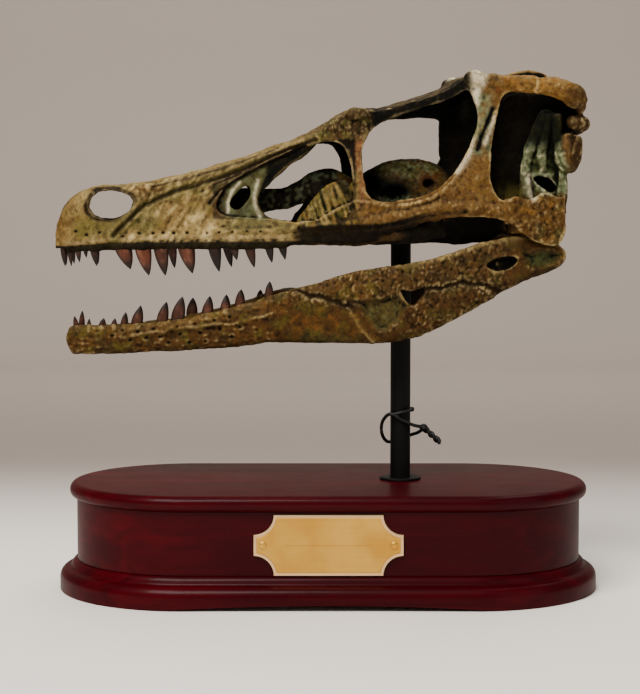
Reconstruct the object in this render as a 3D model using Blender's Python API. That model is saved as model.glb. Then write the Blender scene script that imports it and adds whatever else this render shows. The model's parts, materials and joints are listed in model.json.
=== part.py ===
"""A raptor dinosaur's skull, life size, jaws parted, on its wooden museum stand.

The skull is worked out in its own millimetre frame: x runs back from the tip of the snout, y is
sideways (the skull's left is negative) and z is the height above the upper tooth line.  The whole
cranium is carved from a lofted shell, fused, and then parted into its bones by thin cuts.
The row frame has its origin in the middle of the stand's underside, +X to the back of the skull.
"""
import math

import bmesh
import bpy
import numpy as np
from mathutils import Matrix, Vector

MM = 0.001
GAP = 0.3  # clearance between neighbouring pieces
SEAM = 0.35  # width of the cuts that part the bones

# ---- skull: driving sizes -------------------------------------------------------------------
SKULL_LENGTH = 240.0
POST_AT = 160.0  # distance of the post behind the snout tip
TOOTH_LINE_HEIGHT = 164.0  # of the upper tooth line above the floor
SKULL_TURN = math.radians(5.5)  # the snout is turned this far to the viewer's side
SHELL = 2.8  # thickness of the skull's walls
VOXEL = 1.1  # grain of the fused cranium
CRANIUM_TRIANGLES = 3500
PALATE_LOW = -1.0  # height of the palate's underside, where the post meets it

# Profiles of the cranium: (distance behind the snout tip, size)
ROOF = [(0, 6), (3, 14), (7.5, 19.6), (13.5, 23.2), (20, 24.8), (29, 25.3), (43, 26.9), (55, 29.5),
        (66, 32), (78, 35.5), (89, 39.2), (100, 42.8), (112, 47), (121, 51.5), (128, 55.8),
        (135, 59), (141, 60), (148, 60.2), (157, 62.8), (169, 66.4), (180, 70.4), (187, 74.6),
        (194, 75.6), (209, 73.6), (226, 74.2), (233, 70.5), (240, 63)]
EDGE_DROP = [(0, 2.5), (20, 2.2), (60, 2.4), (110, 3), (134, 1.2), (150, 1.6), (176, 1.8),
             (188, 0.2), (210, 1.4), (240, 4)]
MARGIN = [(0, -4), (11, -2.4), (25, -1), (43, -0.4), (66, 0), (106, 0.2), (112, 1.6), (128, 2.8),
          (145, 3), (158, 5.6), (170, 9), (180, 10.6), (191, 10.6), (198, 10), (203, 8.2),
          (208, 4.8), (213, 3.1), (218, 1.6), (223, 0.8), (228, -0.6), (240, -0.6)]
HALF_ROOF = [(0, 1.6), (5, 4.4), (13, 6), (25, 6.6), (43, 7.2), (66, 8.2), (89, 9.6), (112, 12),
             (125, 15.5), (134, 20.5), (140, 21.5), (147, 17.5), (156, 15.5), (167, 17), (175, 21),
             (182, 28), (188, 33.5), (200, 35), (215, 36), (230, 35), (240, 29)]
HALF_MARGIN = [(0, 3), (5, 7), (10, 9), (25, 11.5), (50, 13), (80, 16), (110, 20.2), (135, 25.5),
               (160, 32), (190, 39), (215, 41), (230, 40), (240, 36)]

# Openings in the side view: (distance behind the snout tip, height), run round in turn
NARIS = [(15.2, 15), (17.6, 20.4), (23, 22.2), (30, 21.6), (35, 18.4), (33.5, 12.8), (27, 9.6),
         (19, 10.6)]
ANTORBITAL = [(73.5, 15.5), (76, 22), (83, 28), (92, 33), (101, 37.6), (112, 42), (122, 44.4),
              (129.5, 43.4), (133.6, 36), (134.8, 25), (134.8, 18), (128, 14.6), (118, 9),
              (108, 8.2), (96, 9.6), (84, 10.4), (76, 11.4)]
FOSSA_FLOOR = [(71, 9), (71, 24), (79, 31), (90, 37), (101, 41.6), (112, 44.6), (119, 45.4),
               (111.6, 40.6), (104.8, 36.8), (99.8, 32), (95.8, 26.5), (93, 21.5), (92.6, 16.5),
               (95.4, 11.6), (98, 8)]
REAR_FOSSA = [(137, 28), (133, 24.5), (128.6, 27), (124, 25.4), (120, 22), (115, 15.5), (110, 9),
              (113, 6), (124, 5), (137, 8)]
MAXILLARY_HOLE = [(80.2, 16.4), (81.4, 21), (85, 23.8), (88.2, 22.4), (88.6, 18.4), (86, 14.6),
                  (82.4, 13.8)]
ORBIT = [(139, 40), (143, 49.4), (152, 54.8), (165, 59.4), (178, 63.6), (185.4, 67.4), (188.6, 62),
         (190, 53), (187.6, 45), (181, 32.6), (174, 24.8), (166, 20.2), (156, 17.8), (147, 17.4),
         (141.4, 20.6), (139.4, 29)]
TEMPLE = [(197.5, 50), (200, 62), (204, 66.6), (216, 66.8), (228, 61), (246, 56), (246, 20),
          (227, 19.4), (220, 20.4), (213, 18.6), (207, 19.6), (201.4, 18), (196.6, 23),
          (195.4, 32), (196, 42)]
VAULT_PITS = [((144.4, 9, 23.6), (4.6, 7, 6.4)), ((155, 12, 20.4), (6.4, 7, 4.4)),
              ((171.6, 10.4, 25.6), (3.2, 5, 2.4))]  # centres and radii, on the left and the right
QUADRATE_HOLE = [(215.6, 25), (217, 28.6), (220.4, 29.4), (222.8, 27), (222.6, 23), (219, 21.4)]
UPPER_TEMPLE = [(203, 12), (201, 21), (204, 29), (214, 31), (224, 28), (227, 20), (222, 13),
                (212, 10)]  # seen from above: (distance, sideways)

# ---- lower jaw ------------------------------------------------------------------------------
JAW_TOP = [(4, -44), (6.5, -40), (20, -39.8), (34, -39.3), (47, -38), (57, -37), (66, -34.9),
           (77, -32.5), (84, -30.6), (97, -26.4), (106, -23.4), (120, -20), (130, -16.4),
           (145, -13), (158, -11.4), (169, -9.2), (180, -5.8), (188, -2.8), (196, -0.4),
           (203, 1), (210, 1.8), (214, 1.6), (218, 0.4), (223, -0.4), (228, -2), (230.5, -5)]
JAW_BOTTOM = [(4, -47), (7, -52.6), (20, -52.6), (43, -51.6), (66, -50.4), (88, -48.6), (97, -47.4),
              (124, -47.2), (142, -47), (153, -46.6), (160, -45.2), (169, -41.8), (178, -37.2),
              (187, -32.4), (196, -27), (205, -21.8), (214, -17.8), (222, -14.8), (228, -12.6),
              (230.5, -9)]
JAW_HALF = [(4, 3.2), (12, 5.6), (25, 8), (50, 10.4), (80, 14), (110, 17.6), (135, 22), (160, 28),
            (190, 34.6), (215, 37), (230.5, 36.6)]
JAW_THICKNESS = [(4, 3.4), (12, 6.4), (40, 7.2), (90, 7.6), (120, 7), (150, 5.6), (190, 5.6),
                 (206, 8), (218, 11), (230.5, 7)]
FAR_DROP = [(100, 0), (112, 0), (132, 0.8), (158, 0.8), (176, 6), (203, 6), (214, 0), (231, 0)]
JAW_HOLE = [(156, -22.6), (161, -23.4), (167, -21.8), (165.8, -26), (162.4, -29.8), (158.6, -27.6)]
JAW_FORAMEN = [(194.4, -11.6), (198, -8.4), (205, -7.4), (208.2, -8.8), (205, -12.4), (199, -14)]

# ---- teeth: (root, tip distance behind the snout tip, tip height, fore-and-aft width) ----------
PREMAXILLA_TEETH = {
    "left": [(3.2, 4.1, -12.3, 3), (6.2, 7, -12.2, 2.8), (9.8, 10.7, -10.4, 3.1),
             (17, 18.6, -12.1, 4.2)],
    "right": [(3.4, 4.4, -12, 3), (7, 8, -11.6, 2.8), (12.8, 13.6, -8.8, 3), (17.4, 19, -11.8, 4)]}
MAXILLA_TEETH = {
    "left": [(29.6, 33.9, -13.5, 8), (39, 42.3, -16.4, 7.6), (47.4, 49.8, -16.4, 7),
             (58.4, 62.2, -15.5, 7.6), (71.6, 74.4, -14.7, 6), (80.6, 82.4, -9.4, 4.8),
             (87.7, 90.4, -12.8, 5.2), (96.6, 98.4, -10.6, 4.4), (102.8, 104.4, -9.2, 4.2)],
    "right": [(30, 34.2, -13.2, 8), (39.4, 42.6, -15.6, 7.6), (53, 54.6, -14, 4.8),
              (60, 63.4, -14.8, 7), (73, 75.6, -14, 6), (79, 81.4, -13.6, 5),
              (89.4, 92, -12.4, 5.2), (98.6, 100.4, -10.2, 4.4), (104.6, 106, -9, 4)]}
DENTARY_TEETH = {
    "left": [(9, 8, -35.2, 2.8), (14.6, 14.8, -36.4, 2.4), (20.4, 20.6, -36.8, 3),
             (26, 26.6, -36.2, 3.2), (30.6, 31, -34.2, 3.4), (36.4, 38.1, -31, 5.6),
             (48, 50, -29, 5.4), (55.2, 57.6, -26.2, 6.6), (68.8, 69.8, -26.8, 5.4),
             (77, 77.4, -26.2, 4.8), (83.8, 84, -23.2, 4.8), (97.2, 97.4, -19.6, 4.2)],
    "right": [(11.2, 11.6, -33, 3), (21, 21.4, -36.6, 3), (31, 31.6, -34, 3.4), (37, 38.6, -31, 5),
              (48.8, 50.6, -29.4, 5), (62.4, 63, -27.6, 5.6), (70, 71, -27, 5),
              (78.4, 78.8, -26.4, 4.6), (85.4, 85.8, -24, 4.4), (94.6, 95, -24.2, 3.4),
              (99, 99.4, -20.4, 4)]}

# ---- stand ------------------------------------------------------------------------------------
STAND_HEIGHT = 50.6
TOP_HALF_LENGTH, TOP_HALF_DEPTH, TOP_THICKNESS = 121.5, 57.0, 7.0
WALL_INSET = 3.2  # of the wall behind the top's edge
PLINTH_HALF_LENGTH, PLINTH_HALF_DEPTH, PLINTH_HEIGHT = 126.5, 62.0, 14.4
ARCH_RISE, ARCH_HALF_SPAN = 2.6, 82.0  # the shallow arch under the plinth's front and back
POST_X, POST_RADIUS = 34.0, 4.7
FLANGE_RADIUS, FLANGE_THICKNESS = 9.8, 0.9
PLAQUE_SIZE, PLAQUE_SCOOP, PLAQUE_THICKNESS = (67.0, 27.4), 9.0, 1.2
PLAQUE_PIN, PLAQUE_PIN_INSET = 1.85, 4.1
PLAQUE_HEIGHT = 28.6  # of its middle above the floor
TIE_HEIGHT, TIE_RADIUS = 75.4, 0.75

ARC_STEPS = 10


# ---- tools ------------------------------------------------------------------------------------
def clear_scene():
    for old in list(bpy.data.objects):
        bpy.data.objects.remove(old)


def material(name, colour, roughness, metallic=0.0):
    """A Principled material with one plain colour."""
    made = bpy.data.materials.new(name)
    made.use_nodes = True
    shader = made.node_tree.nodes["Principled BSDF"]
    shader.inputs["Base Color"].default_value = (*colour, 1.0)
    shader.inputs["Roughness"].default_value = roughness
    shader.inputs["Metallic"].default_value = metallic
    return made


def curve_through(points):
    """The smooth function that passes through (position, value) points, without overshoot."""
    x = np.array([p[0] for p in points], float)
    y = np.array([p[1] for p in points], float)
    step, rise = np.diff(x), np.diff(y) / np.diff(x)
    slope = np.zeros(len(x))
    for i in range(1, len(x) - 1):
        if rise[i - 1] * rise[i] > 0:
            slope[i] = 2 * rise[i - 1] * rise[i] / (rise[i - 1] + rise[i])
    slope[0], slope[-1] = rise[0], rise[-1]

    def value(at):
        at = min(max(at, x[0]), x[-1])
        i = min(int(np.searchsorted(x, at, side="right")) - 1, len(step) - 1)
        t = (at - x[i]) / step[i]
        return float(y[i] * (1 + 2 * t) * (1 - t) ** 2 + slope[i] * step[i] * t * (1 - t) ** 2
                     + y[i + 1] * t * t * (3 - 2 * t) + slope[i + 1] * step[i] * t * t * (t - 1))
    return value


def rounded(points, steps=3, closed=True):
    """More points on the smooth line through these ones (a Catmull-Rom spline)."""
    line = [np.array(p, float) for p in points]
    count = len(line)
    made = []
    for i in range(count if closed else count - 1):
        a, b = line[(i - 1) % count], line[i]
        c, d = line[(i + 1) % count], line[(i + 2) % count]
        if not closed:
            a = line[max(i - 1, 0)]
            d = line[min(i + 2, count - 1)]
        for k in range(steps):
            t = k / steps
            made.append(0.5 * (2 * b + (c - a) * t + (2 * a - 5 * b + 4 * c - d) * t * t
                               + (3 * b - a - 3 * c + d) * t ** 3))
    if not closed:
        made.append(line[-1])
    return made


def mesh_object(name, points, faces):
    """An object with this mesh, its faces turned outwards. Points are in millimetres."""
    mesh = bpy.data.meshes.new(name)
    mesh.from_pydata([Vector(p) * MM for p in points], [], faces)
    work = bmesh.new()
    work.from_mesh(mesh)
    bmesh.ops.recalc_face_normals(work, faces=work.faces)
    work.to_mesh(mesh)
    work.free()
    made = bpy.data.objects.new(name, mesh)
    bpy.context.scene.collection.objects.link(made)
    return made


def loft(name, rings):
    """A closed body through rings that all have the same number of points."""
    count = len(rings[0])
    points = [p for ring in rings for p in ring]
    faces = []
    for r in range(len(rings) - 1):
        for k in range(count):
            n = (k + 1) % count
            faces.append((r * count + k, r * count + n, (r + 1) * count + n, (r + 1) * count + k))
    faces.append(tuple(range(count)))
    faces.append(tuple((len(rings) - 1) * count + k for k in range(count)))
    return mesh_object(name, points, faces)


def side_prism(name, outline, low=-70.0, high=70.0):
    """An outline of the side view, carried sideways from low to high."""
    return loft(name, [[(x, y, z) for x, z in outline] for y in (low, high)])


def plan_prism(name, outline, low, high):
    """An outline seen from above, carried upwards from low to high."""
    return loft(name, [[(x, y, z) for x, y in outline] for z in (low, high)])


def tube(name, path, sides=10, steps=4):
    """An oval bar. Each point of the path is (x, y, z, half height, half width)."""
    line = rounded(path, steps, closed=False)
    rings = []
    for i, p in enumerate(line):
        ahead = line[min(i + 1, len(line) - 1)][:3] - line[max(i - 1, 0)][:3]
        along = Vector(ahead).normalized()
        side = along.cross(Vector((0, 0, 1)))
        side = Vector((0, 1, 0)) if side.length < 0.35 else side.normalized()
        up = side.cross(along).normalized()
        ring = []
        for k in range(sides):
            turn = 2 * math.pi * k / sides
            ring.append(Vector(p[:3]) + up * (p[3] * math.sin(turn)) + side * (p[4] * math.cos(turn)))
        rings.append(ring)
    return loft(name, rings)


def ball(name, centre, radii, rings=6, sides=10):
    """An egg-shaped lump."""
    made = []
    for i in range(1, rings):
        polar = math.pi * i / rings
        made.append([(centre[0] + radii[0] * math.cos(polar),
                      centre[1] + radii[1] * math.sin(polar) * math.cos(2 * math.pi * k / sides),
                      centre[2] + radii[2] * math.sin(polar) * math.sin(2 * math.pi * k / sides))
                     for k in range(sides)])
    return loft(name, made)


def remove(*objects):
    for o in objects:
        bpy.data.objects.remove(o)


def applied(body):
    """Makes what the object's modifiers give its own mesh."""
    graph = bpy.context.evaluated_depsgraph_get()
    mesh = bpy.data.meshes.new_from_object(body.evaluated_get(graph))
    body.modifiers.clear()
    body.data = mesh
    return body


def boolean(body, other, operation):
    """Cuts, joins or keeps what is common, for good."""
    step = body.modifiers.new(operation, "BOOLEAN")
    step.operation = operation
    step.object = other
    step.solver = "EXACT"
    applied(body)
    remove(other)
    return body


def joined(name, parts):
    """One object that holds the separate shells of all the parts."""
    work = bmesh.new()
    for part in parts:
        work.from_mesh(part.data)
    mesh = bpy.data.meshes.new(name)
    work.to_mesh(mesh)
    work.free()
    remove(*parts)
    made = bpy.data.objects.new(name, mesh)
    bpy.context.scene.collection.objects.link(made)
    return made


def fused(name, parts, voxel, triangles, smoothing=6):
    """The parts melted into one smooth skin, with about that many triangles."""
    body = joined(name, parts)
    melt = body.modifiers.new("melt", "REMESH")
    melt.mode = "VOXEL"
    melt.voxel_size = voxel * MM
    soften = body.modifiers.new("soften", "SMOOTH")
    soften.factor = 0.5
    soften.iterations = smoothing
    applied(body)
    keep_largest(body)
    triangulate = body.modifiers.new("triangulate", "TRIANGULATE")
    triangulate.quad_method = "SHORTEST_DIAGONAL"
    applied(body)
    thin = body.modifiers.new("thin", "DECIMATE")
    thin.ratio = min(1.0, triangles / len(body.data.polygons))
    return applied(body)


def islands_of(work):
    """The separate shells of a bmesh, as lists of faces."""
    work.faces.index_update()
    seen, found = set(), []
    for first in work.faces:
        if first.index in seen:
            continue
        seen.add(first.index)
        island, front = [first], [first]
        while front:
            face = front.pop()
            for line in face.edges:
                for other in line.link_faces:
                    if other.index not in seen:
                        seen.add(other.index)
                        island.append(other)
                        front.append(other)
        found.append(island)
    return found


def keep_largest(body):
    """Drops every shell but the largest, such as crumbs that a cut leaves."""
    work = bmesh.new()
    work.from_mesh(body.data)
    found = sorted(islands_of(work), key=lambda faces: sum(f.calc_area() for f in faces))
    crumbs = [f for island in found[:-1] for f in island]
    if crumbs:
        bmesh.ops.delete(work, geom=crumbs, context="FACES")
        work.to_mesh(body.data)
    work.free()
    return body


# ---- cranium ----------------------------------------------------------------------------------
roof, edge_drop, margin = curve_through(ROOF), curve_through(EDGE_DROP), curve_through(MARGIN)
half_roof, half_margin = curve_through(HALF_ROOF), curve_through(HALF_MARGIN)
WALL_BULGE = 0.8  # under 1 the wall swells outwards between the roof's edge and the margin


def wall(x, z):
    """How far the cranium's outer side lies from the middle plane at this place."""
    top = roof(x) - edge_drop(x)
    t = min(max((top - z) / max(top - margin(x), 1.0), 0.0), 1.0)
    return half_roof(x) + (half_margin(x) - half_roof(x)) * t ** WALL_BULGE


def shell_ring(x, inset=0.0, floor=None):
    """A cross-section of the cranium, made smaller by inset, down to the floor."""
    top, edge = roof(x) - inset, roof(x) - edge_drop(x) - inset
    low = margin(x) if floor is None else floor
    width = half_roof(x) - inset
    half = [(0.0, top), (0.55 * width, top - 0.2 * (top - edge)), (0.9 * width, top - 0.7 * (top - edge))]
    for t in (0.06, 0.2, 0.4, 0.6, 0.8, 0.95):
        z = edge + (margin(x) - edge) * t
        half.append((wall(x, z) - inset, z))
    half.append((half_margin(x) - inset - 0.7, low))  # the margin is drawn in a little
    ring = [(x, y, z) for y, z in half]
    return ring + [(x, 0.0, low)] + [(x, -y, z) for y, z in reversed(half[1:])]


def shell_body(name, places, inset=0.0, floor=None):
    return loft(name, [shell_ring(x, inset, floor) for x in places])


def wall_path(points, inset, height, width):
    """A bar along the left wall through (x, z) points, that far inside the outer surface."""
    return [(x, -(wall(x, z) - inset), z, height, width) for x, z in points]


def both_sides(name, path, sides=10):
    """The same bar on the left and on the right."""
    mirrored = [(p[0], -p[1], *p[2:]) for p in path]
    return [tube(name + "_left", path, sides), tube(name + "_right", mirrored, sides)]


def both_balls(name, centre, radii):
    mirrored = (centre[0], -centre[1], centre[2])
    return [ball(name + "_left", centre, radii), ball(name + "_right", mirrored, radii)]


def carved_shell():
    """The cranium's outer walls and roof, hollowed, with every opening cut."""
    stations = [0, 1.2, 3, 6, 10, 16, 24, 34, 45, 57, 69, 81, 92, 102, 112, 121, 128, 134, 140, 147,
                155, 164, 172, 178, 183, 188, 194, 202, 210, 218, 226, 232, 237, SKULL_LENGTH]
    body = shell_body("shell", stations)
    nose = shell_body("nose_hollow", [12.5, 16, 22, 28, 34, 38], SHELL - 0.6, 7.0)
    boolean(body, nose, "DIFFERENCE")
    hollow = [74] + [x for x in stations if 75 < x < SKULL_LENGTH] + [SKULL_LENGTH + 20]
    boolean(body, shell_body("hollow", hollow, SHELL, -30.0), "DIFFERENCE")
    for name, outline in (("naris", NARIS), ("antorbital", ANTORBITAL), ("orbit", ORBIT),
                          ("temple", TEMPLE)):
        boolean(body, side_prism(name, rounded(outline)), "DIFFERENCE")
    boolean(body, side_prism("behind_cheek", [(229.6, -20), (260, -20), (260, 30), (229.6, 30)]),
            "DIFFERENCE")
    for way in (-1, 1):
        outline = rounded([(x, way * y) for x, y in UPPER_TEMPLE])
        boolean(body, plan_prism("upper_temple", outline, 56, 100), "DIFFERENCE")
    return body


def fossa_floor():
    """The thin recessed plate in front of the antorbital opening, with its round hole."""
    made = []
    for way in (-1, 1):
        outline = rounded(FOSSA_FLOOR)
        rings = [[(x, way * (wall(x, z) - inset), z) for x, z in outline] for inset in (2.2, 4.0)]
        plate = loft("fossa_floor", rings)
        made.append(boolean(plate, side_prism("hole", rounded(MAXILLARY_HOLE)), "DIFFERENCE"))
        made.append(loft("rear_fossa", [[(x, way * (wall(x, z) - inset), z) for x, z in rounded(REAR_FOSSA)]
                                        for inset in (2.6, 5.0)]))
    return made


def wall_bars():
    """The ridges and struts that stiffen the side walls."""
    bars = []
    strut = [(136.6, 47), (137.2, 38), (137.6, 28), (137.8, 20), (138.4, 12)]
    bars += both_sides("lacrimal_strut", wall_path(strut, 2.2, 2.0, 2.4))
    rim = [(141, 15.6), (150, 14.6), (160, 15.2), (170, 18.4), (178, 24), (185, 34), (190.6, 44)]
    bars += both_sides("jugal_rim", wall_path(rim, 1.4, 2.0, 1.7))
    bars += both_sides("jugal_bar", wall_path([(112, 5), (126, 6), (142, 8), (158, 10.5), (172, 14),
                                               (188, 15), (204, 13)], 1.4, 3.4, 2.2))
    bars += both_sides("postorbital_rim", wall_path([(189, 72), (191.4, 62), (193, 50), (193.5, 40)],
                                                    1.6, 2.4, 2.2))
    bars += both_sides("upper_bar", wall_path([(190, 71), (202, 70.6), (216, 70), (226, 68), (232, 66)],
                                              2.0, 3.9, 2.6))
    bars += both_sides("cheek_end", wall_path([(202, 13), (212, 13), (221, 13), (227, 13)], 2.6, 6, 2.6))
    bars += both_sides("nasal_ridge", wall_path([(34, 22.8), (54, 26), (80, 33), (98, 39), (114, 45)],
                                                1.2, 1.5, 1.5))
    bars += both_sides("gum_ridge", wall_path([(4, -1.6), (20, 1), (50, 1.6), (80, 1.8), (108, 2)],
                                              1.9, 2.2, 2.2))
    bars += both_balls("brow", (137, -20.6, 57), (5.5, 3.2, 3.2))
    bars += both_balls("postorbital_boss", (189, -33.5, 72.4), (5.4, 3.6, 4.2))
    return bars


def quadrates():
    """The bone that carries the jaw joint, with its wing, foot and the squamosal above it."""
    bars = []
    bars += both_sides("quadrate_shaft", [(229, -32, 58, 3, 3), (225, -32, 50, 3, 2.8),
                                          (224.2, -32, 40, 2.8, 2.6), (225.6, -31.8, 30, 2.6, 2.6),
                                          (227.4, -31.8, 20, 3, 3), (225.6, -32.4, 8, 4, 3.6)])
    bars += both_sides("quadrate_front", [(217, -26, 53, 2, 2), (212.4, -27, 40, 2.4, 2),
                                          (210.8, -29, 29, 2.4, 2), (214, -32, 17, 2.8, 2.4),
                                          (221, -32.4, 8, 3, 3)])
    for way in (-1, 1):
        web = [(216, 50), (225, 50), (224.6, 40), (226, 30), (227, 14), (214, 13), (210.8, 28),
               (212, 42)]
        sheet = loft("quadrate_web", [[(x, way * (y + 0.03 * (z - 30)), z) for x, z in web]
                                      for y in (28.8, 31.4)])
        boolean(sheet, side_prism("hole", QUADRATE_HOLE), "DIFFERENCE")
        bars.append(sheet)
        bars.append(loft("quadrate_foot", [[(x, y, 1.4), (x, y, 8), (x, 0.9 * y, 8), (x, 0.75 * y, 8),
                                            (x, 0.75 * y, 1.4), (x, 0.87 * y, 2.6)]
                                           for x, y in ((217, 34.4 * way), (222, 35.3 * way),
                                                        (229, 34.8 * way))]))
    bars += both_sides("squamosal", [(216, -35.6, 69.8, 3.6, 2.8), (224, -35.8, 69.4, 4, 3.4),
                                     (230, -35.2, 67.4, 5, 4.2), (235, -33.8, 64.4, 5, 4.2),
                                     (239, -31.4, 61.8, 3.6, 3.4)])
    return bars


def braincase():
    """The brain's box, the back wall of the head, and the wings that reach out from it."""
    parts = []
    stations = [(178, 3, 42, 60), (184, 6.5, 34, 66), (194, 10.5, 27, 71), (206, 12, 25, 71),
                (220, 12.5, 25, 71), (230, 12, 27, 68), (234, 9, 31, 60)]
    rings = []
    for x, half, low, high in stations:
        middle, reach = (low + high) / 2, (high - low) / 2
        rings.append([(x, half * math.cos(a) * (1.15 if math.sin(a) > 0 else 0.9),
                       middle + reach * math.sin(a))
                      for a in (2 * math.pi * k / 14 for k in range(14))])
    parts.append(loft("brain_box", rings))
    parts.append(ball("condyle", (236, 0, 37), (4.6, 4, 3.6)))
    parts += both_sides("paroccipital", [(229, -8, 46, 6.5, 2.6), (231, -20, 45, 6, 2.2),
                                         (233, -30, 42.6, 6.4, 2.2), (235, -38, 39.5, 8, 2.4)], 12)
    parts += both_sides("nuchal_wing", [(228, 0, 72, 3.4, 2), (231, -12, 71, 4, 2),
                                        (234.6, -24, 66, 4.2, 2.2), (238, -31, 60, 3.6, 2.6)], 12)
    parts += both_sides("occiput_knob", [(229, -9, 53, 3, 2.4), (233, -18, 52, 3, 2.6),
                                         (237, -27, 50.6, 3, 2.8), (238, -33, 50.6, 4, 4)])
    parts.append(tube("crest", [(203, 0, 73.4, 1.8, 1.6), (212, 0, 75, 2.2, 1.6),
                                (219.6, 0, 76.4, 2.4, 1.8), (226, 0, 75, 2.4, 2.2), (230, 0, 71, 3, 3)]))
    parts.append(tube("brow_keel", [(146, 0, 57.4, 2.4, 4), (160, 0, 59, 3.6, 4.4),
                                    (172, 0, 60.6, 5, 5), (182, 0, 61, 7, 5.6)]))
    parts += both_sides("basal_tuber", [(226, -5, 30, 4, 3.4), (222, -6.4, 23, 3.4, 3),
                                        (213, -6, 18.6, 3, 2.8), (203, -7.4, 15, 2.8, 2.6)])
    return parts


def palate():
    """The bones of the roof of the mouth, which show through the openings."""
    parts = []
    shelf = []
    for x, low, high in ((5, -2.2, 3), (12, -1, 6.4), (26, 0, 7), (40, 0.6, 6), (60, 1, 7), (76, 1.2, 6)):
        half = wall(x, 1) - 1.4
        shelf.append([(x, -half, low), (x, half, low), (x, half, high), (x, -half, high)])
    parts.append(loft("front_shelf", shelf))
    parts += both_sides("side_shelf", [(72, -12, 4, 2, 4), (88, -14, 4, 1.8, 3.6),
                                       (102, -16.4, 4.4, 1.8, 3.4), (110, -18, 5, 1.8, 2.8)])
    parts.append(tube("vomer", [(70, 0, 9, 6, 3), (80, 0, 13.5, 9, 3), (88, 0, 15.6, 8.4, 3),
                                (95, 0, 17.6, 5.8, 2.8), (106, 0, 18.8, 4.9, 3), (113, 0, 21.6, 5.6, 3.4),
                                (121, 0, 24.6, 7.2, 4), (127, 0, 24.8, 7.8, 4.6), (132, 0, 23.6, 6.6, 5),
                                (137, 0, 22, 5.6, 5)]))
    parts += both_sides("palatine", [(118, -2, 25, 4, 2.4), (124, -9, 18, 3.4, 2.6),
                                     (124, -17, 10, 3, 3)])
    vault = []
    for x, half, low, crown in ((132, 8, 6, 25), (140, 11, 3, 29.4), (150, 13.4, 1, 34.6),
                                (162, 14.6, 1, 37.2), (174, 14, 2, 35.8), (184, 11, 5, 30.4),
                                (192, 7, 9, 24)):
        vault.append([(x, half * math.cos(a), low + (crown - low) * math.sin(a))
                      for a in (math.pi * k / 10 for k in range(11))])
    dome = loft("vault", vault)
    for way in (-1, 1):
        for (x, y, z), radii in VAULT_PITS:
            boolean(dome, ball("pit", (x, way * y, z), radii), "DIFFERENCE")
    parts.append(dome)
    parts += both_sides("pterygoid", [(116, -14.4, 0.8, 1.7, 2.4), (130, -15, -0.4, 2, 2.8),
                                      (148, -14.6, 0, 2.2, 2.8), (166, -15.4, 0.6, 2.6, 2.6),
                                      (180, -14.4, 2.4, 2.8, 2.4), (190, -11.4, 8, 2.6, 2.4)])
    parts += both_sides("pterygoid_wing", [(186, -12, 6, 3, 2), (196, -15, 9.6, 3.2, 1.8),
                                           (206, -20.6, 14, 4.4, 1.7), (215, -28, 19, 5.4, 1.7)])
    for way in (-1, 1):
        sheet = [(196, way * 20, 8), (198, way * 21, 24), (206, way * 24.6, 33), (213, way * 26.6, 34),
                 (214.6, way * 27.6, 17), (207, way * 22, 10)]
        parts.append(loft("pterygoid_sheet", [[(x, y + d, z) for x, y, z in sheet]
                                              for d in (-1.2, 1.2)]))
    parts += both_sides("ectopterygoid", [(166, -14.6, 1.4, 2.6, 2.6), (168, -22, 2.6, 2.4, 2.6),
                                          (171, -30, 8.6, 2.4, 2.6), (173, -35, 13, 2.4, 2.4)])
    for way in (-1, 1):
        flange = [(170, 16, -1.6), (171, 17, 6), (186, 20, 11), (203, 25, 12), (205, 27, 4), (196, 24, -1),
                  (184, 20, -2.4)]
        parts.append(loft("pterygoid_flange", [[(x, way * (y + d), z) for x, y, z in flange]
                                               for d in (-1.1, 1.1)]))
    floor = [[(x, -half, PALATE_LOW), (x, half, PALATE_LOW), (x, half, 3), (x, -half, 3)]
             for x, half in ((146, 15), (160, 15.6), (172, 15))]
    parts.append(loft("palate_floor", floor))
    return parts


def whole_cranium():
    parts = [carved_shell(), *fossa_floor(), *wall_bars(), *quadrates(), *braincase(), *palate()]
    return fused("cranium", parts, VOXEL, CRANIUM_TRIANGLES)


# ---- parting the cranium into its bones ---------------------------------------------------------
# Seams of the side view, (distance, height), and how far sideways each reaches on both sides.
MAXILLA_TOP = [(20, -12), (25.1, 2.6), (34.7, 10.4), (41.7, 16.5), (54, 22.6), (67, 27.8), (80, 33),
               (97.5, 38.2), (104, 40), (109, 40.4), (114, 37.6)]
SIDE_SEAMS = [
    (MAXILLA_TOP, 0, 60),  # maxillae and the bones above
    ([(24, 19), (25, 23), (37, 31)], 0, 60),  # premaxilla and nasals over the nostril
    ([(32.6, 18.6), (41.6, 16)], 0, 60),  # and behind it
    ([(123, -8), (129, 4), (133.4, 14.6), (133.4, 37)], 17.7, 60),  # maxilla and jugal
    ([(132.8, 14.4), (138, 15.6), (141.6, 18), (145.4, 22.6)], 17.7, 60),  # lacrimal and jugal
    ([(178, 37), (200, 43)], 17, 60),  # jugal and postorbital
    ([(209, 50), (213, 84)], 25, 60),  # postorbital and squamosal
    ([(210, 56.6), (248, 56.6)], 21, 60),  # squamosal and quadrate
    ([(170, 50), (180, 56), (186, 64), (190, 66), (228, 66), (233, 63.6), (242, 62.6)], 0, 17),
]
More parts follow.
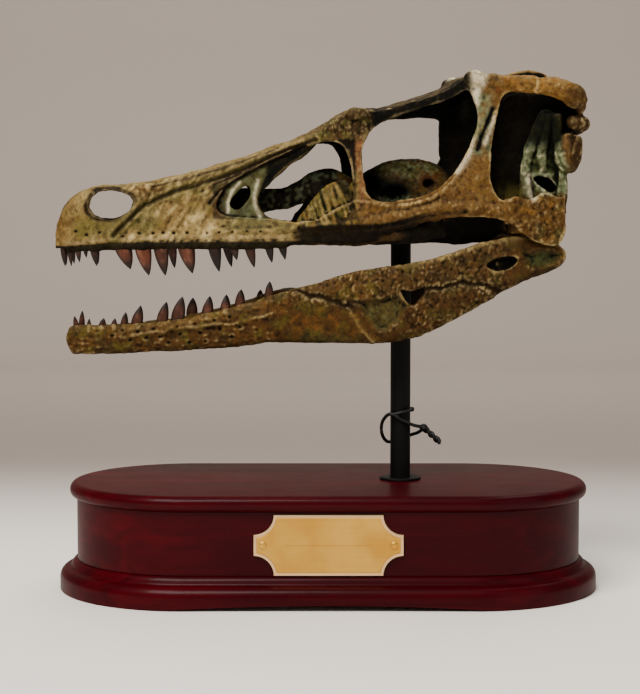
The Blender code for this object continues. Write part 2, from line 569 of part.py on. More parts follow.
# Seams seen from above, (distance, sideways), and the heights between which each one cuts.
PLAN_SEAMS = [
    ([(117, 34), (121, 17), (127, 13), (148, 12.4), (152, 26)], 38, 80),  # round the lacrimal's head
    ([(138.6, -14), (138.6, 14)], 38, 80),  # nasals and skull roof
    ([(178, 33), (182.4, 25.4), (206, 24.6)], 52, 90),  # postorbital and skull roof
    ([(221, 17), (248, 21.6)], 58, 90),  # squamosal and skull roof
    ([(202, 28.6), (210, 24.8), (219, 20)], 2, 40),  # palate and quadrate
    ([(198, 33.6), (208, 34.4), (216, 34.9), (222, 35.4), (232, 35.4)], -4, 30),  # at the cheek
    ([(76.8, -8), (76.8, 8)], -8, 30),  # maxillae and palate, across
    ([(76.6, 7.6), (90, 9.2), (104, 11.6), (110.2, 12.7)], -8, 30),
    ([(110, 12.6), (114, 17), (126, 19.4), (134, 19.2)], -8, 38),
    ([(133, 19), (150, 21.6), (166, 27.6), (186, 29)], -8, 26),  # jugal and palate
]
PLACES = {  # a point in every bone of the cranium, for the left one of a pair
    "premaxilla": (8, -8, 6), "nasals": (70, 0, 30), "skull_roof": (164, 0, 62),
    "braincase": (206, -10, 45), "palate": (160, -13, 22), "maxilla": (50, -11, 8),
    "lacrimal": (137.6, -22, 40), "jugal": (160, -31, 12), "postorbital": (192, -35, 60),
    "squamosal": (229, -36, 66), "quadrate": (224, -32, 40)}
PAIRED = ("maxilla", "lacrimal", "jugal", "postorbital", "squamosal", "quadrate")


def ribbon(path, width):
    """The outline of a strip of this width along an open path."""
    line = [Vector(p) for p in path]
    left, right = [], []
    for i, p in enumerate(line):
        ahead = (line[min(i + 1, len(line) - 1)] - p).normalized() if i < len(line) - 1 else None
        behind = (p - line[i - 1]).normalized() if i else None
        along = ((ahead or behind) + (behind or ahead)).normalized()
        across = Vector((-along.y, along.x)) * width / 2
        left.append(p + across)
        right.append(p - across)
    return [tuple(p) for p in left + right[::-1]]


def cut_seams(body):
    """Takes a thin slot out of the cranium along every seam."""
    middle = MAXILLA_TOP + [(112, 30), (76.8, 26), (76.8, -20), (20, -20)]
    boolean(body, side_prism("seam", middle, -SEAM / 2, SEAM / 2), "DIFFERENCE")
    for path, low, high in SIDE_SEAMS:
        outline = ribbon(path, SEAM)
        spans = [(-high, high)] if low == 0 else [(-high, -low), (low, high)]
        for near, far in spans:
            boolean(body, side_prism("seam", outline, near, far), "DIFFERENCE")
    for path, low, high in PLAN_SEAMS:
        middle = min(y for _, y in path) <= 0
        for way in (1,) if middle else (-1, 1):
            outline = ribbon([(x, way * y) for x, y in path], SEAM)
            boolean(body, plan_prism("seam", outline, low, high), "DIFFERENCE")
    return body


def island_objects(body):
    """Every separate shell of the body as an object of its own."""
    work = bmesh.new()
    work.from_mesh(body.data)
    work.verts.ensure_lookup_table()
    made = []
    for island in islands_of(work):
        used = sorted({v.index for f in island for v in f.verts})
        place = {index: i for i, index in enumerate(used)}
        points = [work.verts[index].co / MM for index in used]
        made.append(mesh_object("piece", points, [[place[v.index] for v in f.verts] for f in island]))
    work.free()
    remove(body)
    return made


def distance(piece, spot):
    """From a point to the nearest place on the piece's surface."""
    return (piece.closest_point_on_mesh(spot)[1] - spot).length


def parted(body):
    """The bones of the cranium by name."""
    pieces = island_objects(cut_seams(body))
    wanted = []
    for name, (x, y, z) in PLACES.items():
        if name in PAIRED:
            wanted += [(name + "_left", (x, y, z)), (name + "_right", (x, -y, z))]
        else:
            wanted.append((name, (x, y, z)))
    bones = {}
    for name, place in wanted:
        spot = Vector(place) * MM
        nearest = min(pieces, key=lambda piece: distance(piece, spot))
        bones[name] = nearest
        nearest.name = name
        pieces.remove(nearest)
    remove(*pieces)  # what is left is crumbs of the cuts
    return bones


# ---- teeth ------------------------------------------------------------------------------------
def tooth(root, tip, width, depth, sides=5):
    """A curved cone, flattened sideways. Root and tip are (x, y, z); it bends towards the tip."""
    root, tip = Vector(root), Vector(tip)
    rings = []
    for t, size in ((0, 0.92), (0.5, 0.8), (1, 0.1)):
        centre = root.lerp(tip, t)
        centre.x = root.x + (tip.x - root.x) * t ** 1.7
        rings.append([centre + Vector((0.5 * width * size * math.cos(a), 0.5 * depth * size * math.sin(a),
                                       0))
                      for a in (2 * math.pi * k / sides for k in range(sides))])
    return loft("tooth", rings)


def row_of_teeth(rows, side, half, gum, embed):
    """The teeth of one side of a jaw. half and gum give the place of the gum line."""
    way = -1 if side == "left" else 1
    made = []
    for root, tip, height, width in rows[side]:
        y = way * half(root)
        start = gum(root) + embed * (1 if height < gum(root) else -1)
        made.append(tooth((root, y, start), (tip, y, height), width, min(3.6, 0.35 * width + 1.1)))
    return joined("teeth", made)


def set_teeth(bone, teeth):
    return boolean(bone, teeth, "UNION")


# ---- lower jaw ----------------------------------------------------------------------------------
jaw_top, jaw_bottom = curve_through(JAW_TOP), curve_through(JAW_BOTTOM)
far_drop = curve_through(FAR_DROP)  # how far the right side's top lies below the left one's
jaw_half, jaw_thickness = curve_through(JAW_HALF), curve_through(JAW_THICKNESS)
JAW_STATIONS = [4, 5.6, 9, 16, 27, 42, 58, 74, 90, 106, 120, 134, 148, 158, 168, 178, 188, 197,
                205, 212, 218, 224, 228, 230.5]
JAW_SEAM = [(150, -10), (158, -15), (164, -22.6), (158, -27.6), (150, -36), (141, -52)]


def jaw_ring(x, way):
    """A cross-section of one side of the lower jaw."""
    top, low = jaw_top(x) - (far_drop(x) if way > 0 else 0), jaw_bottom(x)
    half, thick = jaw_half(x), jaw_thickness(x)
    inner = max(half - thick, SEAM / 2)
    reach, width = (top - low) / 2, (half - inner) / 2
    middle = (top + low) / 2
    ring = []
    for k in range(10):
        a = 2 * math.pi * (k + 0.5) / 10
        c, s = math.cos(a), math.sin(a)
        across = math.copysign(abs(c) ** 0.6, c)
        up = math.copysign(abs(s) ** 0.75, s)
        y = inner + width + width * across
        ring.append((x, way * max(y, SEAM / 2), middle + reach * up * 1.02))
    return ring


def lower_jaw(side):
    """One side of the lower jaw in its two named pieces: the dentary and the rear of the jaw."""
    way = -1 if side == "left" else 1
    jaw = loft("jaw", [jaw_ring(x, way) for x in JAW_STATIONS])
    near, far = sorted((way * 1, way * 60))
    boolean(jaw, side_prism("fenestra", rounded(JAW_HOLE, 2), near, far), "DIFFERENCE")
    boolean(jaw, side_prism("foramen", rounded(JAW_FORAMEN, 2), *sorted((way * 33, way * 60))),
            "DIFFERENCE")
    boolean(jaw, side_prism("seam", ribbon(JAW_SEAM, SEAM), near, far), "DIFFERENCE")
    front, rear = sorted(island_objects(jaw), key=lambda o: o.bound_box[0][0])
    teeth = row_of_teeth(DENTARY_TEETH, side, lambda x: max(jaw_half(x) - 3.4, 2.2), jaw_top, 2.6)
    set_teeth(front, teeth)
    front.name, rear.name = "dentary_" + side, "rear_jaw_" + side
    return {front.name: front, rear.name: rear}


# ---- stand ----------------------------------------------------------------------------------------
def stadium(half_length, half_depth, steps=ARC_STEPS):
    """A plan outline with two straight sides and two round ends."""
    straight = half_length - half_depth
    outline = []
    for way in (1, -1):
        for k in range(steps + 1):
            a = math.pi * (k / steps - 0.5)
            outline.append((way * (straight + half_depth * math.cos(a)), way * half_depth * math.sin(a)))
    return outline


def turned(name, half_length, half_depth, profile):
    """A body of stadium plan whose edge follows a profile of (inset, height)."""
    return loft(name, [[(x, y, z) for x, y in stadium(half_length - inset, half_depth - inset)]
                       for inset, z in profile])


def stand():
    parts = {}
    top_low = STAND_HEIGHT - TOP_THICKNESS
    parts["stand_top"] = turned("stand_top", TOP_HALF_LENGTH, TOP_HALF_DEPTH, [
        (WALL_INSET + 0.6, top_low), (1.2, top_low + 0.6), (0.25, top_low + 1.8),
        (0, top_low + 3.4), (0.3, top_low + 4.9), (1.2, top_low + 6.1), (2.6, top_low + 6.8),
        (4.4, STAND_HEIGHT)])
    parts["stand_body"] = turned("stand_body", TOP_HALF_LENGTH - WALL_INSET,
                                 TOP_HALF_DEPTH - WALL_INSET,
                                 [(0, PLINTH_HEIGHT + GAP), (0, top_low - GAP)])
    plinth = turned("stand_plinth", PLINTH_HALF_LENGTH, PLINTH_HALF_DEPTH, [
        (0.4, 0), (0, 0.8), (0, 6.2), (0.7, 8.4), (2.2, 10), (4, 10.8), (5, 11.4), (5.4, 12.6),
        (6.6, PLINTH_HEIGHT)])
    arch = [(ARCH_HALF_SPAN * math.sin(a) / math.sin(0.5),
             ARCH_RISE * (math.cos(a) - math.cos(0.5)) / (1 - math.cos(0.5)))
            for a in (-0.5 + k / 12 for k in range(13))]
    arch = [(-ARCH_HALF_SPAN, -4)] + arch + [(ARCH_HALF_SPAN, -4)]
    for way in (-1, 1):
        boolean(plinth, side_prism("arch", arch, *sorted((way * 50, way * 80))), "DIFFERENCE")
    parts["stand_plinth"] = plinth

    def disc(radius, z, sides=20):
        return [(POST_X + radius * math.cos(2 * math.pi * k / sides),
                 radius * math.sin(2 * math.pi * k / sides), z) for k in range(sides)]
    foot = STAND_HEIGHT + GAP
    post_top = TOOTH_LINE_HEIGHT + PALATE_LOW - GAP
    parts["stand_post"] = loft("stand_post", [disc(POST_RADIUS, foot), disc(POST_RADIUS, post_top)])
    flange = loft("stand_flange", [disc(FLANGE_RADIUS, foot), disc(FLANGE_RADIUS, foot + 0.5),
                                   disc(FLANGE_RADIUS - 0.5, foot + FLANGE_THICKNESS)])
    hole = loft("hole", [disc(POST_RADIUS + GAP, foot - 5), disc(POST_RADIUS + GAP, foot + 5)])
    parts["stand_flange"] = boolean(flange, hole, "DIFFERENCE")
    parts["stand_plaque"] = plaque()
    parts["stand_tie"] = tie()
    return parts


def plaque():
    """The brass plate on the stand's front: scooped corners, a bevelled rim and two round pins."""
    half_x, half_z = PLAQUE_SIZE[0] / 2, PLAQUE_SIZE[1] / 2
    front = -(TOP_HALF_DEPTH - WALL_INSET + GAP)

    def outline(inset, y):
        made = []
        reach = PLAQUE_SCOOP + inset
        for cx, cz, begin in ((1, 1, 270), (-1, 1, 360), (-1, -1, 90), (1, -1, 180)):
            for k in range(7):
                a = math.radians(begin - 15 * k)
                made.append((cx * half_x + reach * math.cos(a), y, PLAQUE_HEIGHT + cz * half_z
                             + reach * math.sin(a)))
        return [(min(max(x, inset - half_x), half_x - inset), y,
                 min(max(z, PLAQUE_HEIGHT - half_z + inset), PLAQUE_HEIGHT + half_z - inset))
                for x, y, z in made]
    plate = loft("stand_plaque", [outline(0, front), outline(0, front - 0.6),
                                  outline(0.6, front - PLAQUE_THICKNESS)])
    for way in (-1, 1):
        pin = ball("pin", (way * (half_x - PLAQUE_PIN_INSET), front - PLAQUE_THICKNESS, PLAQUE_HEIGHT),
                   (PLAQUE_PIN, 0.8, PLAQUE_PIN))
        boolean(plate, pin, "UNION")
    return plate


def tie():
    """The wire that is wound once round the post and knotted beside it, with its tail hanging."""
    path = [(18.7, -2, -8), (15, -2.2, -4), (11, -2.6, 0), (6.4, -5.2, 1), (1, -6.4, 3.4),
            (-4.8, -5.4, 6.4), (-8.4, -1, 2.4), (-8.6, 1.4, -3.6), (-5.6, 5.4, -8), (0, 6.6, -6.6),
            (5.4, 5.1, -4.6), (8.6, 2.6, -3.4), (9.6, 1, -2.6)]
    return tube("stand_tie", [(POST_X + x, y, TIE_HEIGHT + z, TIE_RADIUS, TIE_RADIUS)
                              for x, y, z in path], 5, 2)


# ---- the whole row --------------------------------------------------------------------------------
def place_skull(bones):
    """Moves the skull's own frame on to the post and turns the snout to its side."""
    move = (Matrix.Translation(Vector((POST_X, 0, TOOTH_LINE_HEIGHT)) * MM)
            @ Matrix.Rotation(SKULL_TURN, 4, "Z") @ Matrix.Translation(Vector((-POST_AT, 0, 0)) * MM))
    for bone in bones.values():
        bone.data.transform(move)


def tidy(body, paint, smooth_angle=40):
    """One material, shading that is smooth over round skin and sharp over true edges."""
    body.data.materials.clear()
    body.data.materials.append(paint)
    work = bmesh.new()
    work.from_mesh(body.data)
    bmesh.ops.remove_doubles(work, verts=work.verts, dist=0.00001)
    bmesh.ops.dissolve_degenerate(work, edges=work.edges, dist=0.00001)
    bmesh.ops.triangulate(work, faces=work.faces)
    work.to_mesh(body.data)
    work.free()
    body.data.shade_smooth()
    body.data.set_sharp_from_angle(angle=math.radians(smooth_angle))


def build():
    clear_scene()
    bones = parted(whole_cranium())
    for side in ("left", "right"):
        set_teeth(bones["premaxilla"],
                  row_of_teeth(PREMAXILLA_TEETH, side, lambda x: max(half_margin(x) - 2.4, 1.8), margin, 3))
        set_teeth(bones["maxilla_" + side],
                  row_of_teeth(MAXILLA_TEETH, side, lambda x: half_margin(x) - 2.6, margin, 3))
        bones.update(lower_jaw(side))
    place_skull(bones)
    cast = material("bone_cast", (0.30, 0.22, 0.11), 0.7)
    for bone in bones.values():
        tidy(bone, cast, 60)
    wood = material("mahogany", (0.07, 0.006, 0.012), 0.25)
    steel = material("black_paint", (0.012, 0.012, 0.013), 0.45, 0.2)
    brass = material("brass", (0.72, 0.50, 0.20), 0.35, 1.0)
    wire = material("tie_plastic", (0.015, 0.015, 0.016), 0.4)
    paints = {"stand_post": steel, "stand_flange": steel, "stand_plaque": brass, "stand_tie": wire}
    for name, part in stand().items():
        tidy(part, paints.get(name, wood))


build()
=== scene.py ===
import json
import math
import time

import bmesh
import bpy
import numpy as np
from mathutils import Matrix, Vector
from mathutils.bvhtree import BVHTree

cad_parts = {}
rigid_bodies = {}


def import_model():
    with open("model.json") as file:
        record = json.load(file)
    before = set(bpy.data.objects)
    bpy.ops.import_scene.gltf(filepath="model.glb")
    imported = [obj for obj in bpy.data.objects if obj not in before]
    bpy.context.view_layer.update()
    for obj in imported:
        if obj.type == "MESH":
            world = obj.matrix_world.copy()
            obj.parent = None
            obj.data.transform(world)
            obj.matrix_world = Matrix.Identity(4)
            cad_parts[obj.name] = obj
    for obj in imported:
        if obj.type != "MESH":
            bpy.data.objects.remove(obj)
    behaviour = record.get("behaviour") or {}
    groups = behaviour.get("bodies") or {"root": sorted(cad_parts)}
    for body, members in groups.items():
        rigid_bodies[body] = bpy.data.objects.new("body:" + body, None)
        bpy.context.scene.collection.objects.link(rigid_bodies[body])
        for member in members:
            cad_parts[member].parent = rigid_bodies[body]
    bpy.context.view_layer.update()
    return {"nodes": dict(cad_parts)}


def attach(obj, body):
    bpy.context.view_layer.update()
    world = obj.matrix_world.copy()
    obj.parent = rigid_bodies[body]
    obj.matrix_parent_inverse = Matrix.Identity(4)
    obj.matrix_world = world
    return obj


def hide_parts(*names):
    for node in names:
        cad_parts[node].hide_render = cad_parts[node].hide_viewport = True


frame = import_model()
started = time.time()


def report(text):
    print("[%5.1f s] %s" % (time.time() - started, text))


def placed(name, data):
    made = bpy.data.objects.new(name, data)
    bpy.context.scene.collection.objects.link(made)
    return made


view = {"spot": (-0.00384, -0.950, 0.1895), "pitchDown": 4.6, "lens": 105.2, "film": 36, "nearest": 0.01}


def makeCamera():
    data = bpy.data.cameras.new("studioCamera")
    data.lens, data.sensor_width, data.clip_start = view["lens"], view["film"], view["nearest"]
    camera = placed("studioCamera", data)
    camera.location = view["spot"]
    camera.rotation_euler = (math.radians(90 - view["pitchDown"]), 0, 0)
    bpy.context.scene.camera = camera


makeCamera()


def linear(red, green, blue):  # colours are written as 0 to 255 and used as linear light
    return tuple((c / 255 / 12.92) if c / 255 <= 0.04045 else ((c / 255 + 0.055) / 1.055) ** 2.4
                 for c in (red, green, blue))


class Wire:  # wraps one output socket, so that sums on masks read as sums
    def __init__(self, kit, socket):
        self.kit, self.socket = kit, socket

    def op(self, operation, *values):
        return self.kit.add("ShaderNodeMath", {"operation": operation}, *values)

    def __add__(self, other):
        return self.op("ADD", self, other)

    def __radd__(self, other):
        return self.op("ADD", other, self)

    def __sub__(self, other):
        return self.op("SUBTRACT", self, other)

    def __rsub__(self, other):
        return self.op("SUBTRACT", other, self)

    def __mul__(self, other):
        return self.op("MULTIPLY", self, other)

    def __rmul__(self, other):
        return self.op("MULTIPLY", other, self)

    def step(self, low, high):  # 0 below low, 1 above high
        return self.kit.add("ShaderNodeMapRange", {"interpolation_type": "SMOOTHSTEP"}, self, low, high)


class Finish:  # one material and the nodes that make it
    def __init__(self, name):
        self.material = bpy.data.materials.new(name)
        self.material.use_nodes = True
        self.tree = self.material.node_tree
        self.shader = self.tree.nodes["Principled BSDF"]

    def add(self, kind, settings=None, *values, out=0, **named):
        node = self.tree.nodes.new(kind)
        for key, value in (settings or {}).items():
            setattr(node, key, value)
        for index, value in list(enumerate(values)) + list(named.items()):
            self.feed(node.inputs[index], value)
        return Wire(self, node.outputs[out])

    def feed(self, socket, value):
        if isinstance(value, Wire):
            self.tree.links.new(value.socket, socket)
        elif isinstance(value, (tuple, list)) and socket.type == "RGBA" and len(value) == 3:
            socket.default_value = (*value, 1)
        else:
            socket.default_value = value

    def set(self, **named):
        for name, value in named.items():
            self.feed(self.shader.inputs[name.replace("_", " ")], value)
        return self

    def mask(self, name):
        return self.add("ShaderNodeAttribute", {"attribute_name": name}, out=2)

    def place(self, scale=(1, 1, 1)):
        return self.add("ShaderNodeMapping", Vector=self.add("ShaderNodeTexCoord", out=3), Scale=scale)

    def noise(self, where, scale, detail, rough, twist=0.0):
        return self.add("ShaderNodeTexNoise", Vector=where, Scale=scale, Detail=detail, Roughness=rough,
                        Distortion=twist)

    def blend(self, share, first, second, how="MIX"):
        node = self.tree.nodes.new("ShaderNodeMix")
        node.data_type, node.blend_type, node.clamp_factor = "RGBA", how, True
        for index, value in ((0, share), (6, first), (7, second)):
            self.feed(node.inputs[index], value)
        return Wire(self, node.outputs[2])

    def washed(self, share, skin, wash):  # the skin, multiplied by a wash on a share of it
        return self.blend(share, skin, self.blend(1.0, skin, wash, "MULTIPLY"))

    def bump(self, height, strength, distance):
        return self.add("ShaderNodeBump", Height=height, Strength=strength, Distance=distance)


def boneFinish():  # the colours are laid on the points; the nodes only break them up
    f = Finish("boneCast")
    spot = f.place()
    coat = f.add("ShaderNodeAttribute", {"attribute_name": "coat"})
    mottle = f.noise(spot, 240, 5, 0.66, 0.4)
    speck = f.noise(spot, 620, 3, 0.6, 0.3)
    grit = f.noise(spot, 1500, 2, 0.6)
    skin = f.washed(mottle.step(0.47, 0.64) * 0.7, coat, (0.42, 0.36, 0.28))
    skin = f.washed(speck.step(0.54, 0.7) * 0.55, skin, (1.7, 1.66, 1.5))
    skin = f.washed(speck.step(0.48, 0.34) * 0.6, skin, (0.4, 0.35, 0.3))
    skin = f.washed(grit.step(0.55, 0.7) * 0.4, skin, (0.5, 0.45, 0.4))
    dark = f.add("ShaderNodeRGBToBW", None, coat).step(0.03, 0.006)
    return f.set(Base_Color=skin, Roughness=0.55 + mottle * 0.15 + dark * 0.3, Specular_IOR_Level=0.1,
                 Normal=f.bump(mottle * 0.6 + speck * 0.4 + grit * 0.2, 0.7, 0.0006)).material


def toothFinish():
    f = Finish("toothEnamel")
    streak = f.noise(f.place((1, 1, 0.22)), 700, 4, 0.6)
    cloud = f.noise(f.place(), 260, 3, 0.5)
    along, warm = f.mask("along"), f.mask("warm")
    body = f.blend(warm, linear(18, 11, 6), linear(108, 56, 34))
    body = f.blend(cloud.step(0.5, 0.68) * (warm * 0.6 + 0.06), body, linear(136, 90, 70))
    body = f.blend(streak.step(0.45, 0.7) * 0.6, body, linear(26, 17, 10))
    body = f.blend(f.mask("keel") * 0.9, body, linear(16, 10, 6))
    body = f.blend(along.step(0.55, 0.9) * 0.9, body, linear(17, 12, 8))
    body = f.blend(along.step(0.34, 0.14) * 0.9, body, linear(22, 14, 8))
    return f.set(Base_Color=body, Roughness=0.4 + streak * 0.2, Specular_IOR_Level=0.2, Coat_Weight=0.05,
                 Coat_Roughness=0.25, Normal=f.bump(streak, 0.25, 0.0003)).material


def mahoganyFinish():
    f = Finish("mahogany")
    wave = f.noise(f.place((0.6, 6.0, 6.0)), 16, 6, 0.6, 0.8)
    pores = f.noise(f.place((1.0, 16.0, 16.0)), 110, 3, 0.6)
    drift = f.noise(f.place(), 9, 2, 0.5)
    dust = f.noise(f.place(), 60, 4, 0.6)
    colour = f.blend(wave.step(0.35, 0.7), linear(50, 0, 6), linear(70, 0, 9))
    colour = f.blend(drift.step(0.4, 0.7) * 0.5, colour, linear(36, 0, 4))
    colour = f.blend(pores.step(0.58, 0.72) * 0.35, colour, linear(30, 0, 4))
    return f.set(Base_Color=colour, Roughness=0.4 + dust * 0.12, Specular_IOR_Level=0.04, Coat_Weight=0.08,
                 Coat_Roughness=0.16, Normal=f.bump(wave * 0.4 + pores * 0.3, 0.1, 0.0004)).material


def blackFinish():
    f = Finish("blackPaint")
    grain = f.noise(f.place(), 1400, 3, 0.6)
    smear = f.noise(f.place((1, 1, 0.3)), 90, 3, 0.5)
    colour = f.blend(smear.step(0.4, 0.7), linear(7, 6, 5), linear(14, 12, 10))
    return f.set(Base_Color=colour, Roughness=0.5 + smear * 0.16, Specular_IOR_Level=0.12,
                 Normal=f.bump(grain, 0.18, 0.0002)).material


def brassFinish():
    f = Finish("satinBrass")
    brushed = f.noise(f.place((1.0, 1.0, 34.0)), 60, 4, 0.6)
    cloud = f.noise(f.place(), 45, 3, 0.5)
    colour = f.blend(cloud.step(0.35, 0.7), linear(206, 150, 50), linear(222, 172, 76))
    colour = f.blend(brushed.step(0.45, 0.7) * 0.25, colour, linear(190, 136, 60))
    colour = f.blend(f.mask("edge") * 0.8, colour, linear(244, 206, 160))
    return f.set(Base_Color=colour, Metallic=0.75, Roughness=0.34 + brushed * 0.16,
                 Normal=f.bump(brushed, 0.08, 0.0002)).material


def tieFinish():
    f = Finish("tiePlastic")
    grain = f.noise(f.place(), 900, 3, 0.5)
    colour = f.blend(grain, linear(6, 6, 6), linear(15, 14, 14))
    return f.set(Base_Color=colour, Roughness=0.36 + grain * 0.2, Specular_IOR_Level=0.35,
                 Normal=f.bump(grain, 0.2, 0.0002)).material


def floorFinish():
    f = Finish("paleFloor")
    cloud = f.noise(f.place(), 3, 3, 0.5)
    back = f.add("ShaderNodeSeparateXYZ", None, f.place(), out=1)
    ground = f.blend(cloud, linear(255, 250, 240), linear(254, 246, 236))
    # painted shade and light: the floor is laid darker just behind the stand, then lighter again far back,
    # to make up for the lamps' falloff
    colour = f.blend(back.step(0.05, 0.45), ground, linear(154, 142, 133))
    colour = f.blend(back.step(0.45, 1.2), colour, linear(198, 185, 173))
    return f.set(Base_Color=colour, Roughness=0.62 + cloud * 0.05, Specular_IOR_Level=0.2).material


# x runs back from the tip of the snout, y is sideways (left is negative), z is the height above the teeth
skull = {
    "postAt": 160.0, "toothLine": 164.0, "turn": 5.5, "postX": 34.0,
    "shell": 2.8, "grain": 0.55, "softening": 3,
    "roof": [(0, 6), (3, 14), (7.5, 19.6), (13.5, 23.2), (20, 24.8), (29, 25.3), (43, 26.9), (55, 29.5),
             (66, 32), (78, 35.5), (89, 39.2), (100, 42.8), (112, 47), (121, 51.5), (128, 55.8),
             (135, 59), (141, 60), (148, 60.2), (157, 62.8), (169, 66.4), (180, 70.4), (187, 74.6),
             (194, 75.6), (209, 73.6), (226, 74.2), (233, 70.5), (240, 63)],
    "edgeDrop": [(0, 2.5), (20, 2.2), (60, 2.4), (110, 3), (134, 1.2), (150, 1.6), (176, 1.8),
                 (188, 0.2), (210, 1.4), (240, 4)],
    "margin": [(0, -4), (11, -2.4), (25, -1), (43, -0.4), (66, 0), (106, 0.2), (112, 1.6), (128, 2.8),
               (145, 3), (158, 5.6), (170, 9), (180, 10.6), (191, 10.6), (198, 10), (203, 8.6),
               (208, 4.6), (213, 0.8), (219, -1.6), (225, -2.4), (228.4, -0.6), (230.4, 6), (240, 20)],
    "halfRoof": [(0, 1.6), (5, 4.4), (13, 6), (25, 6.6), (43, 7.2), (66, 8.2), (89, 9.6), (112, 12),
                 (125, 15.5), (134, 20.5), (140, 21.5), (147, 17.5), (156, 15.5), (167, 17), (175, 21),
                 (182, 28), (188, 33.5), (200, 35), (215, 36), (230, 35), (240, 29)],
    "halfMargin": [(0, 3), (5, 7), (10, 9), (25, 11.5), (50, 13), (80, 16), (110, 20.2), (135, 25.5),
                   (160, 32), (190, 39), (215, 41), (230, 40), (240, 36)]}
openings = {  # run round in the side view: (distance, height)
    "naris": [(15.2, 15), (17.6, 20.4), (23, 22.2), (30, 21.6), (35, 18.4), (33.5, 12.8), (27, 9.6),
              (19, 10.6)],
    "antorbital": [(73.5, 15.5), (76, 22), (83, 28), (92, 33), (101, 37.6), (112, 42), (122, 44.4),
                   (129.5, 43.4), (133.6, 36), (134.8, 25), (134.8, 18), (128, 14.6), (118, 9),
                   (108, 8.2), (96, 9.6), (84, 10.4), (76, 11.4)],
    "fossaFloor": [(71, 9), (71, 24), (79, 31), (90, 37), (101, 41.6), (112, 44.6), (120, 45.4),
                   (114, 38.2), (106.6, 33.4), (101.2, 28.8), (96.6, 24.2), (93, 21), (92.6, 16.5),
                   (95.4, 11.6), (98, 8)],
    "maxillaryHole": [(79.8, 15.6), (80.8, 19), (84.2, 22.8), (88, 24.4), (89, 21.4), (87, 17), (83, 13.8)],
    "orbit": [(139, 40), (143, 49.4), (152, 54.8), (165, 59.4), (178, 63.6), (185.4, 67.4), (188.6, 62),
              (190, 53), (187.6, 45), (181, 32.6), (174, 24.8), (166, 20.2), (156, 17.8), (147, 17.4),
              (141.4, 20.6), (139.4, 29)],
    "temple": [(197.5, 50), (200, 62), (204, 66.6), (216, 67.2), (228, 63), (246, 58), (246, 23),
               (233, 22.6), (227, 19.4), (220, 21.6), (213, 18.2), (207, 20), (201.4, 18), (196.6, 23),
               (195.4, 32), (196, 42)],
    "upperTemple": [(203, 12), (201, 21), (204, 29), (214, 31), (224, 28), (227, 20), (222, 13),
                    (212, 10)]}


def curveThrough(points):  # smooth, without overshoot, and takes a number or an array
    x = np.array([p[0] for p in points], float)
    y = np.array([p[1] for p in points], float)
    step, rise = np.diff(x), np.diff(y) / np.diff(x)
    slope = np.zeros(len(x))
    for i in range(1, len(x) - 1):
        if rise[i - 1] * rise[i] > 0:
            slope[i] = 2 * rise[i - 1] * rise[i] / (rise[i - 1] + rise[i])
    slope[0], slope[-1] = rise[0], rise[-1]

    def value(at):
        at = np.clip(at, x[0], x[-1])
        i = np.clip(np.searchsorted(x, at, side="right") - 1, 0, len(step) - 1)
        t = (at - x[i]) / step[i]
        return (y[i] * (1 + 2 * t) * (1 - t) ** 2 + slope[i] * step[i] * t * (1 - t) ** 2
                + y[i + 1] * t * t * (3 - 2 * t) + slope[i + 1] * step[i] * t * t * (t - 1))
    return value


roof, edgeDrop, margin = (curveThrough(skull[k]) for k in ("roof", "edgeDrop", "margin"))
halfRoof, halfMargin = curveThrough(skull["halfRoof"]), curveThrough(skull["halfMargin"])


def wall(x, z):  # how far out the side wall lies
    top = roof(x) - edgeDrop(x)
    t = np.clip((top - z) / np.maximum(top - margin(x), 1.0), 0.0, 1.0)
    return halfRoof(x) + (halfMargin(x) - halfRoof(x)) * t ** 0.8


mm = 0.001
leftAndRight = (("left", -1), ("right", 1))


def rounded(points, steps=6, closed=True):  # more points on the smooth line through these
    line = [np.array(p, float) for p in points]
    last, made = len(line) - 1, []
    for i in range(last + closed):
        a, b, c, d = (line[(i + k) % len(line) if closed else min(max(i + k, 0), last)]
                      for k in (-1, 0, 1, 2))
        for k in range(steps):
            t = k / steps
            made.append(0.5 * (2 * b + (c - a) * t + (2 * a - 5 * b + 4 * c - d) * t * t
                               + (3 * b - a - 3 * c + d) * t ** 3))
    return made if closed else made + [line[-1]]


def meshObject(name, points, faces):
    mesh = bpy.data.meshes.new(name)
    mesh.from_pydata([Vector(p) * mm for p in points], [], faces)
    work = bmesh.new()
    work.from_mesh(mesh)
    bmesh.ops.recalc_face_normals(work, faces=work.faces)
    work.to_mesh(mesh)
    work.free()
    return placed(name, mesh)


def loft(name, rings):
    count = len(rings[0])
    faces = [(r * count + k, r * count + (k + 1) % count, (r + 1) * count + (k + 1) % count,
              (r + 1) * count + k) for r in range(len(rings) - 1) for k in range(count)]
    faces += [tuple(range(count)), tuple((len(rings) - 1) * count + k for k in range(count))]
    return meshObject(name, [p for ring in rings for p in ring], faces)


def sidePrism(name, outline, low=-70.0, high=70.0):
    return loft(name, [[(x, y, z) for x, z in outline] for y in (low, high)])


def planPrism(name, outline, low, high):
    return loft(name, [[(x, y, z) for x, y in outline] for z in (low, high)])


def tube(name, path, sides=18, steps=8):  # points are (x, y, z, half height, half width)
    line = rounded(path, steps, closed=False)
    rings = []
    for i, p in enumerate(line):
        along = Vector(line[min(i + 1, len(line) - 1)][:3] - line[max(i - 1, 0)][:3]).normalized()
        side = along.cross(Vector((0, 0, 1)))
        side = Vector((0, 1, 0)) if side.length < 0.35 else side.normalized()
        up = side.cross(along).normalized()
        rings.append([Vector(p[:3]) + up * (p[3] * math.sin(a)) + side * (p[4] * math.cos(a))
                      for a in (2 * math.pi * k / sides for k in range(sides))])
    return loft(name, rings)


